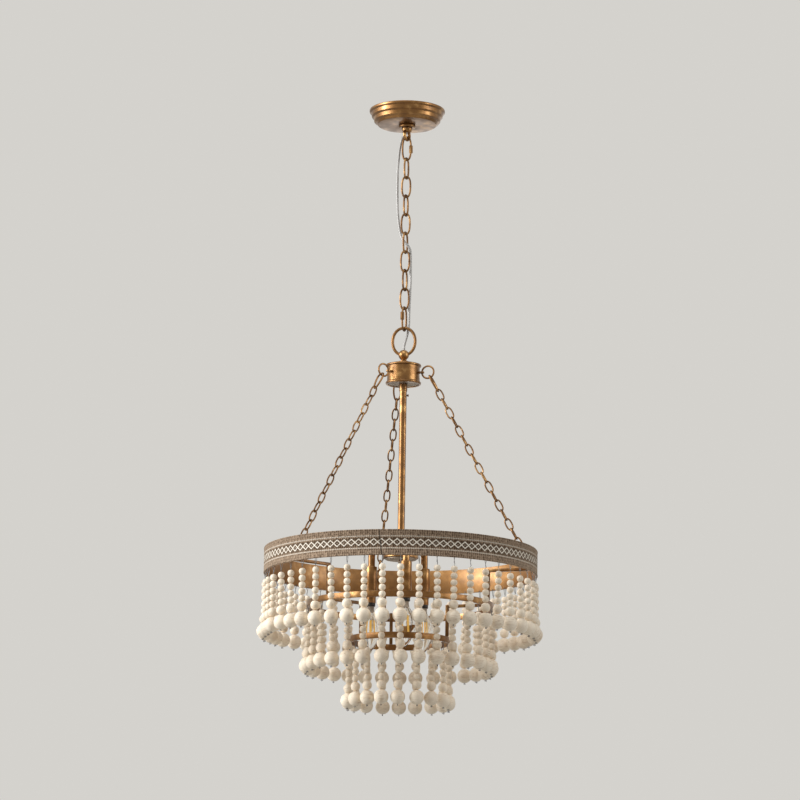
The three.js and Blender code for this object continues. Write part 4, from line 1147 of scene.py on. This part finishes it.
class CHANDELIER_OT_band(bpy.types.Operator):
    """Makes the metal band, its woven trim, the lower hoops and the brackets"""
    bl_idname = "chandelier.band"
    bl_label = "Band and hoops"

    def execute(self, context):
        sizes = context.scene.chandelier_band
        top, bottom = top_and_bottom("woven_trim")
        outer = sizes.diameter / 2 - sizes.trim_thickness - 0.1 * MM
        inner = outer - sizes.wall
        self.band(inner, outer, top, bottom)
        self.trim(sizes, top, bottom)

        half = sizes.hoop_wall / 2
        for title, radius, drop in (("middle_hoop", MIDDLE_HOOP_RADIUS, MIDDLE_HOOP_DROP),
                                    ("inner_hoop", INNER_HOOP_RADIUS, INNER_HOOP_DROP)):
            hoop_bottom = bottom - drop
            hoop_top = hoop_bottom + 10 * MM
            outline = [(radius - half, hoop_bottom), (radius + half, hoop_bottom), (radius + half, hoop_top),
                       (radius - half, hoop_top)]
            turned_piece(title, "shade", "antique_brass", title + "_with_strands", outline, 144,
                         "wooden_beads", closed=True, edge_radius=0.5 * MM)

        for number, direction in enumerate(CHAIN_DIRECTIONS, 1):
            side = facing_out(direction)
            self.bracket("upper_bracket_%d" % number, side, sizes.bracket_bar, bottom, inner - 0.2 * MM,
                         MIDDLE_HOOP_RADIUS)
            self.bracket("lower_bracket_%d" % number, side, sizes.bracket_bar, bottom - MIDDLE_HOOP_DROP,
                         150.2 * MM, INNER_HOOP_RADIUS)
        return {"FINISHED"}

    # the metal band with a hook for each side chain
    def band(self, inner, outer, top, bottom):
        form = bmesh.new()
        outline = [(inner, bottom), (outer, bottom), (outer, top), (inner, top)]
        turn(form, outline, 192, closed=True, edge_radius=0.6 * MM)
        hook_z = top - HOOK_DROP
        bend = 3 * MM
        start = inner - 6.6 * MM
        points = [(inner + 1 * MM, 0, hook_z), (inner - 4 * MM, 0, hook_z), (start, 0, hook_z)]
        points += [(start - bend * sin(radians(angle)), 0, hook_z + bend - bend * cos(radians(angle)))
                   for angle in range(15, 91, 15)]
        points += [(inner - 9.6 * MM, 0, hook_z + 4.4 * MM)]
        for direction in CHAIN_DIRECTIONS:
            side = facing_out(direction)
            sweep(form, [side @ Vector(point) for point in points], 1.5 * MM, 14)
        piece_from(form, "metal_band", "shade", "satin_brass", "band_hoop_with_strands")

    # the trim with its two raised edges; its UV is in metres along the band and up from its lower edge
    def trim(self, sizes, top, bottom):
        wrap = sizes.diameter / 2
        back = wrap - sizes.trim_thickness
        field = wrap - 0.35 * MM
        outline = [(back, bottom), (wrap - 0.5 * MM, bottom), (wrap, bottom + 0.6 * MM),
                   (wrap, bottom + 1.6 * MM), (field, bottom + 2.2 * MM), (field, top - 2.2 * MM),
                   (wrap, top - 1.6 * MM), (wrap, top - 0.9 * MM), (wrap - 0.5 * MM, top), (back, top)]
        form = bmesh.new()
        turn(form, outline, 216, closed=True)
        layer = form.loops.layers.uv.new("UVMap")
        for face in form.faces:
            centre = face.calc_center_median()
            middle_angle = atan2(centre.y, centre.x) % (2 * pi)
            for loop in face.loops:
                angle = atan2(loop.vert.co.y, loop.vert.co.x) % (2 * pi)
                # a face at the start of the turn keeps its corners on one side of it
                if angle - middle_angle > pi:
                    angle -= 2 * pi
                if middle_angle - angle > pi:
                    angle += 2 * pi
                loop[layer].uv = (angle * wrap, loop.vert.co.z - bottom)
        piece_from(form, "woven_band_trim", "shade", "woven_trim", replaces="woven_trim")

    # an angle of square bar: out of the wall at its height, and down to its foot at the post
    def bracket(self, name, side, bar, bar_bottom, wall, post):
        foot = low(name)[2]
        half = bar / 2
        outline = [(wall, bar_bottom), (wall, bar_bottom + bar), (post - half, bar_bottom + bar),
                   (post - half, foot), (post + half, foot), (post + half, bar_bottom)]
        form = bmesh.new()
        plate(form, outline, [], bar, 0.5 * MM, side @ Matrix.Rotation(pi / 2, 4, "X"))
        piece_from(form, name + "_bar", "shade", "chain_brass", replaces=name)


# Bead strands with their wires

# A number from 0 to 1 that is always the same for the same index
def shuffled(index):
    value = sin(index * 12.9898 + 4.137) * 43758.5453
    return value - floor(value)


class CHANDELIER_OT_strands(bpy.types.Operator):
    """Strings the beads and bends their wires"""
    bl_idname = "chandelier.strands"
    bl_label = "Bead strands"

    def execute(self, context):
        sizes = context.scene.chandelier_strands
        band_bottom = low("woven_trim")[2]
        tiers = (("outer", sizes.outer_count, OUTER_STRAND_RADIUS, band_bottom),
                 ("middle", sizes.middle_count, MIDDLE_HOOP_RADIUS, band_bottom - MIDDLE_HOOP_DROP),
                 ("inner", sizes.inner_count, INNER_HOOP_RADIUS, band_bottom - INNER_HOOP_DROP))
        strand, counts = self.one_strand(sizes)
        wires = self.one_wire(sizes)
        for offset, (tier, count, radius, bottom) in enumerate(tiers):
            beads = bmesh.new()
            wire_form = bmesh.new()
            tint = beads.verts.layers.float.new("bead_tint")
            for index in range(count):
                number = index + 100 * offset
                sway = Matrix.Rotation((shuffled(number) - 0.5) * radians(2.2), 4, "X")
                sway = sway @ Matrix.Rotation((shuffled(number + 0.5) - 0.5) * radians(2.6), 4, "Y")
                spin = Matrix.Rotation(shuffled(number + 0.25) * 2 * pi, 4, "Z")
                place = (facing_out(360 * index / count) @ Matrix.Translation((radius, 0, bottom)) @ sway)
                self.add_copy(beads, strand, place @ spin)
                beads.verts.ensure_lookup_table()
                first = len(beads.verts) - sum(counts)
                for bead, size in enumerate(counts):
                    value = shuffled(number * 7 + bead + 0.75)
                    for vert in beads.verts[first:first + size]:
                        vert[tint] = value
                    first += size
                self.add_copy(wire_form, wires, place)
            piece_from(beads, tier + "_beads", "shade", "wooden_beads", sharp=80)
            piece_from(wire_form, tier + "_strand_wires", "shade", "strand_wire", sharp=80)
        bpy.data.meshes.remove(strand)
        bpy.data.meshes.remove(wires)
        return {"FINISHED"}

    def add_copy(self, form, mesh, matrix):
        mesh.transform(matrix)
        form.from_mesh(mesh)
        mesh.transform(matrix.inverted())

    # one strand's beads hanging from the origin, and how many vertices each bead has
    def one_strand(self, sizes):
        form = bmesh.new()
        counts = []
        z = -sizes.wire_drop
        # diameter, segments round and up, bluntness at the bore, width against the diameter
        beads = [(sizes.small_bead, 10, 6, 0.28, 1.035)] * 5
        beads += [(sizes.medium_bead, 12, 7, 0.2, 1), (sizes.big_bead, 14, 9, 0.08, 1)]
        for diameter, around, rows, bluntness, wide in beads:
            before = len(form.verts)
            shape = Matrix.Translation((0, 0, z - diameter / 2)) @ Matrix.Diagonal((wide, wide, 0.985, 1))
            ball = bmesh.ops.create_uvsphere(form, u_segments=around, v_segments=rows, radius=diameter / 2,
                                             matrix=shape)
            # a turned bead is blunter than a ball where its bore comes out
            for vert in ball["verts"]:
                reach = hypot(vert.co.x, vert.co.y) / (wide * diameter / 2)
                if reach > 0.01:
                    vert.co.x *= reach ** -bluntness
                    vert.co.y *= reach ** -bluntness
            counts.append(len(form.verts) - before)
            z -= diameter
        return mesh_from(form, "strand_pattern"), counts

    # one strand's wire above and below its beads; its points are in millimetres
    def one_wire(self, sizes):
        form = bmesh.new()
        drop = sizes.wire_drop
        beads_end = -drop - 5 * sizes.small_bead - sizes.medium_bead - sizes.big_bead

        def points(level, *places):
            return [(x * MM, y * MM, level + z * MM) for x, y, z in places]

        # up through the hole in the hoop's lower edge, round and twisted back on itself
        loop = points(-drop, (0, 0, -0.4), (0.3, 0.2, 3), (-0.6, 0.5, 6))
        loop += points(0, (-1.6, 0.2, -2), (-1.9, 0, 1.5), (0, 0, 3.4), (1.9, 0, 1.5), (1.4, -0.4, -2.4))
        loop += points(-drop, (0.4, -0.7, 5), (0.9, 0.1, 3), (1.9, 0.6, 2.4))
        # curled under the last bead
        curl = points(beads_end, (0, 0, 1), (0, 0, -0.8), (1.2, 0, -2.2), (2.3, 0.2, -1.4), (2, 0.4, -0.2),
                      (0.6, 0.6, -0.5), (-1.6, 0.4, -1.6))
        for line in (loop, curl):
            sweep(form, route_curve(line, 2), 0.45 * MM, 6)
        return mesh_from(form, "wire_pattern")


# Side chains: a ring on each lug, a long link and the small links down to the band's hook

class CHANDELIER_OT_side_chains(bpy.types.Operator):
    """Makes the three side chains"""
    bl_idname = "chandelier.side_chains"
    bl_label = "Side chains"

    def execute(self, context):
        sizes = context.scene.chandelier_side_chains
        wire = sizes.small_wire
        long_wire, long_height = 3 * MM, 34 * MM
        ring_z = middle("side_ring_1")[2]
        hook_z = high("woven_trim")[2] - HOOK_DROP
        lean = atan2(HOOK_REACH - LUG_RING_REACH, ring_z - hook_z)
        run = hypot(HOOK_REACH - LUG_RING_REACH, ring_z - hook_z)
        # distances down the line from the lug ring's centre to the hook
        long_top = (sizes.ring_diameter - sizes.ring_wire) / 2 - sizes.ring_wire - LINK_GAP
        long_bottom = long_top + 31 * MM
        small_top = long_bottom - (long_wire + wire) / 2 - LINK_GAP
        small_bottom = run + ((long_wire + wire) / 2 + HOOK_GAP) / cos(lean)
        # each small link bears on the one above it with its wire
        bearing = wire - 0.35 * MM
        count = sizes.small_count
        pitch = (small_bottom - small_top + (count - 1) * bearing) / count
        for number, direction in enumerate(CHAIN_DIRECTIONS, 1):
            body = "side_chain_%d" % number
            lug = facing_out(direction) @ Matrix.Translation((LUG_RING_REACH, 0, ring_z))
            line = lug @ Matrix.Rotation(-lean, 4, "Y")

            form = bmesh.new()
            wire_ring(form, sizes.ring_diameter, sizes.ring_diameter, sizes.ring_wire, 40, 12, lug)
            piece_from(form, "lug_ring_%d" % number, body, "antique_brass", replaces="side_ring_%d" % number)

            form = bmesh.new()
            place = self.on_line(line, (long_top + long_bottom) / 2, turned=True)
            wire_ring(form, 16.2 * MM, long_height, long_wire, 44, 12, place, roundness=2.3, taper=0.28)
            piece_from(form, "pear_link_%d" % number, body, "antique_brass", replaces="long_link_%d" % number)

            form = bmesh.new()
            for index in range(count):
                start = small_top + index * (pitch - bearing)
                place = self.on_line(line, start + pitch / 2, turned=index % 2 == 1)
                wire_ring(form, sizes.small_width, pitch + wire, wire, 28, 10, place, roundness=2.4)
            piece_from(form, "small_links_%d" % number, body, "chain_brass", replaces=body)
        return {"FINISHED"}

    # a link's place down the leaning line, with every second one turned a quarter
    def on_line(self, line, distance, turned):
        return line @ Matrix.Translation((0, 0, -distance)) @ Matrix.Rotation(pi / 2 if turned else 0, 4, "Z")


OPERATORS = (
    CHANDELIER_OT_stage, CHANDELIER_OT_flex, CHANDELIER_OT_canopy, CHANDELIER_OT_chain, CHANDELIER_OT_hub,
    CHANDELIER_OT_cluster, CHANDELIER_OT_lamps, CHANDELIER_OT_band, CHANDELIER_OT_strands,
    CHANDELIER_OT_side_chains,
)
GROUPS = {
    "chandelier_canopy": CanopyFittings,
    "chandelier_chain": ChainFittings,
    "chandelier_hub": HubFittings,
    "chandelier_lamps": LampFittings,
    "chandelier_band": BandFittings,
    "chandelier_strands": StrandFittings,
    "chandelier_side_chains": SideChainFittings,
    "chandelier_finishes": Finishes,
}


class CHANDELIER_PT_panel(bpy.types.Panel):
    """Lists the chandelier's steps and sizes"""
    bl_label = "Beaded chandelier"
    bl_idname = "CHANDELIER_PT_panel"
    bl_space_type = "VIEW_3D"
    bl_region_type = "UI"
    bl_category = "Chandelier"

    def draw(self, context):
        for operator in OPERATORS:
            self.layout.operator(operator.bl_idname)
        for attribute, group in GROUPS.items():
            box = self.layout.box()
            box.label(text=attribute.replace("chandelier_", "").replace("_", " ").capitalize())
            for name in group.__annotations__:
                box.prop(getattr(context.scene, attribute), name)


def register():
    for group in GROUPS.values():
        bpy.utils.register_class(group)
    for each in (*OPERATORS, CHANDELIER_PT_panel):
        bpy.utils.register_class(each)
    for attribute, group in GROUPS.items():
        setattr(bpy.types.Scene, attribute, PointerProperty(type=group))


def unregister():
    for attribute in GROUPS:
        delattr(bpy.types.Scene, attribute)
    for each in (CHANDELIER_PT_panel, *OPERATORS[::-1]):
        bpy.utils.unregister_class(each)
    for group in GROUPS.values():
        bpy.utils.unregister_class(group)


def main():
    register()
    bpy.ops.chandelier.stage()
    bpy.ops.chandelier.flex()
    bpy.ops.chandelier.canopy()
    bpy.ops.chandelier.chain()
    bpy.ops.chandelier.hub()
    bpy.ops.chandelier.cluster()
    bpy.ops.chandelier.lamps()
    bpy.ops.chandelier.band()
    bpy.ops.chandelier.strands()
    bpy.ops.chandelier.side_chains()


if __name__ == "__main__":
    main()
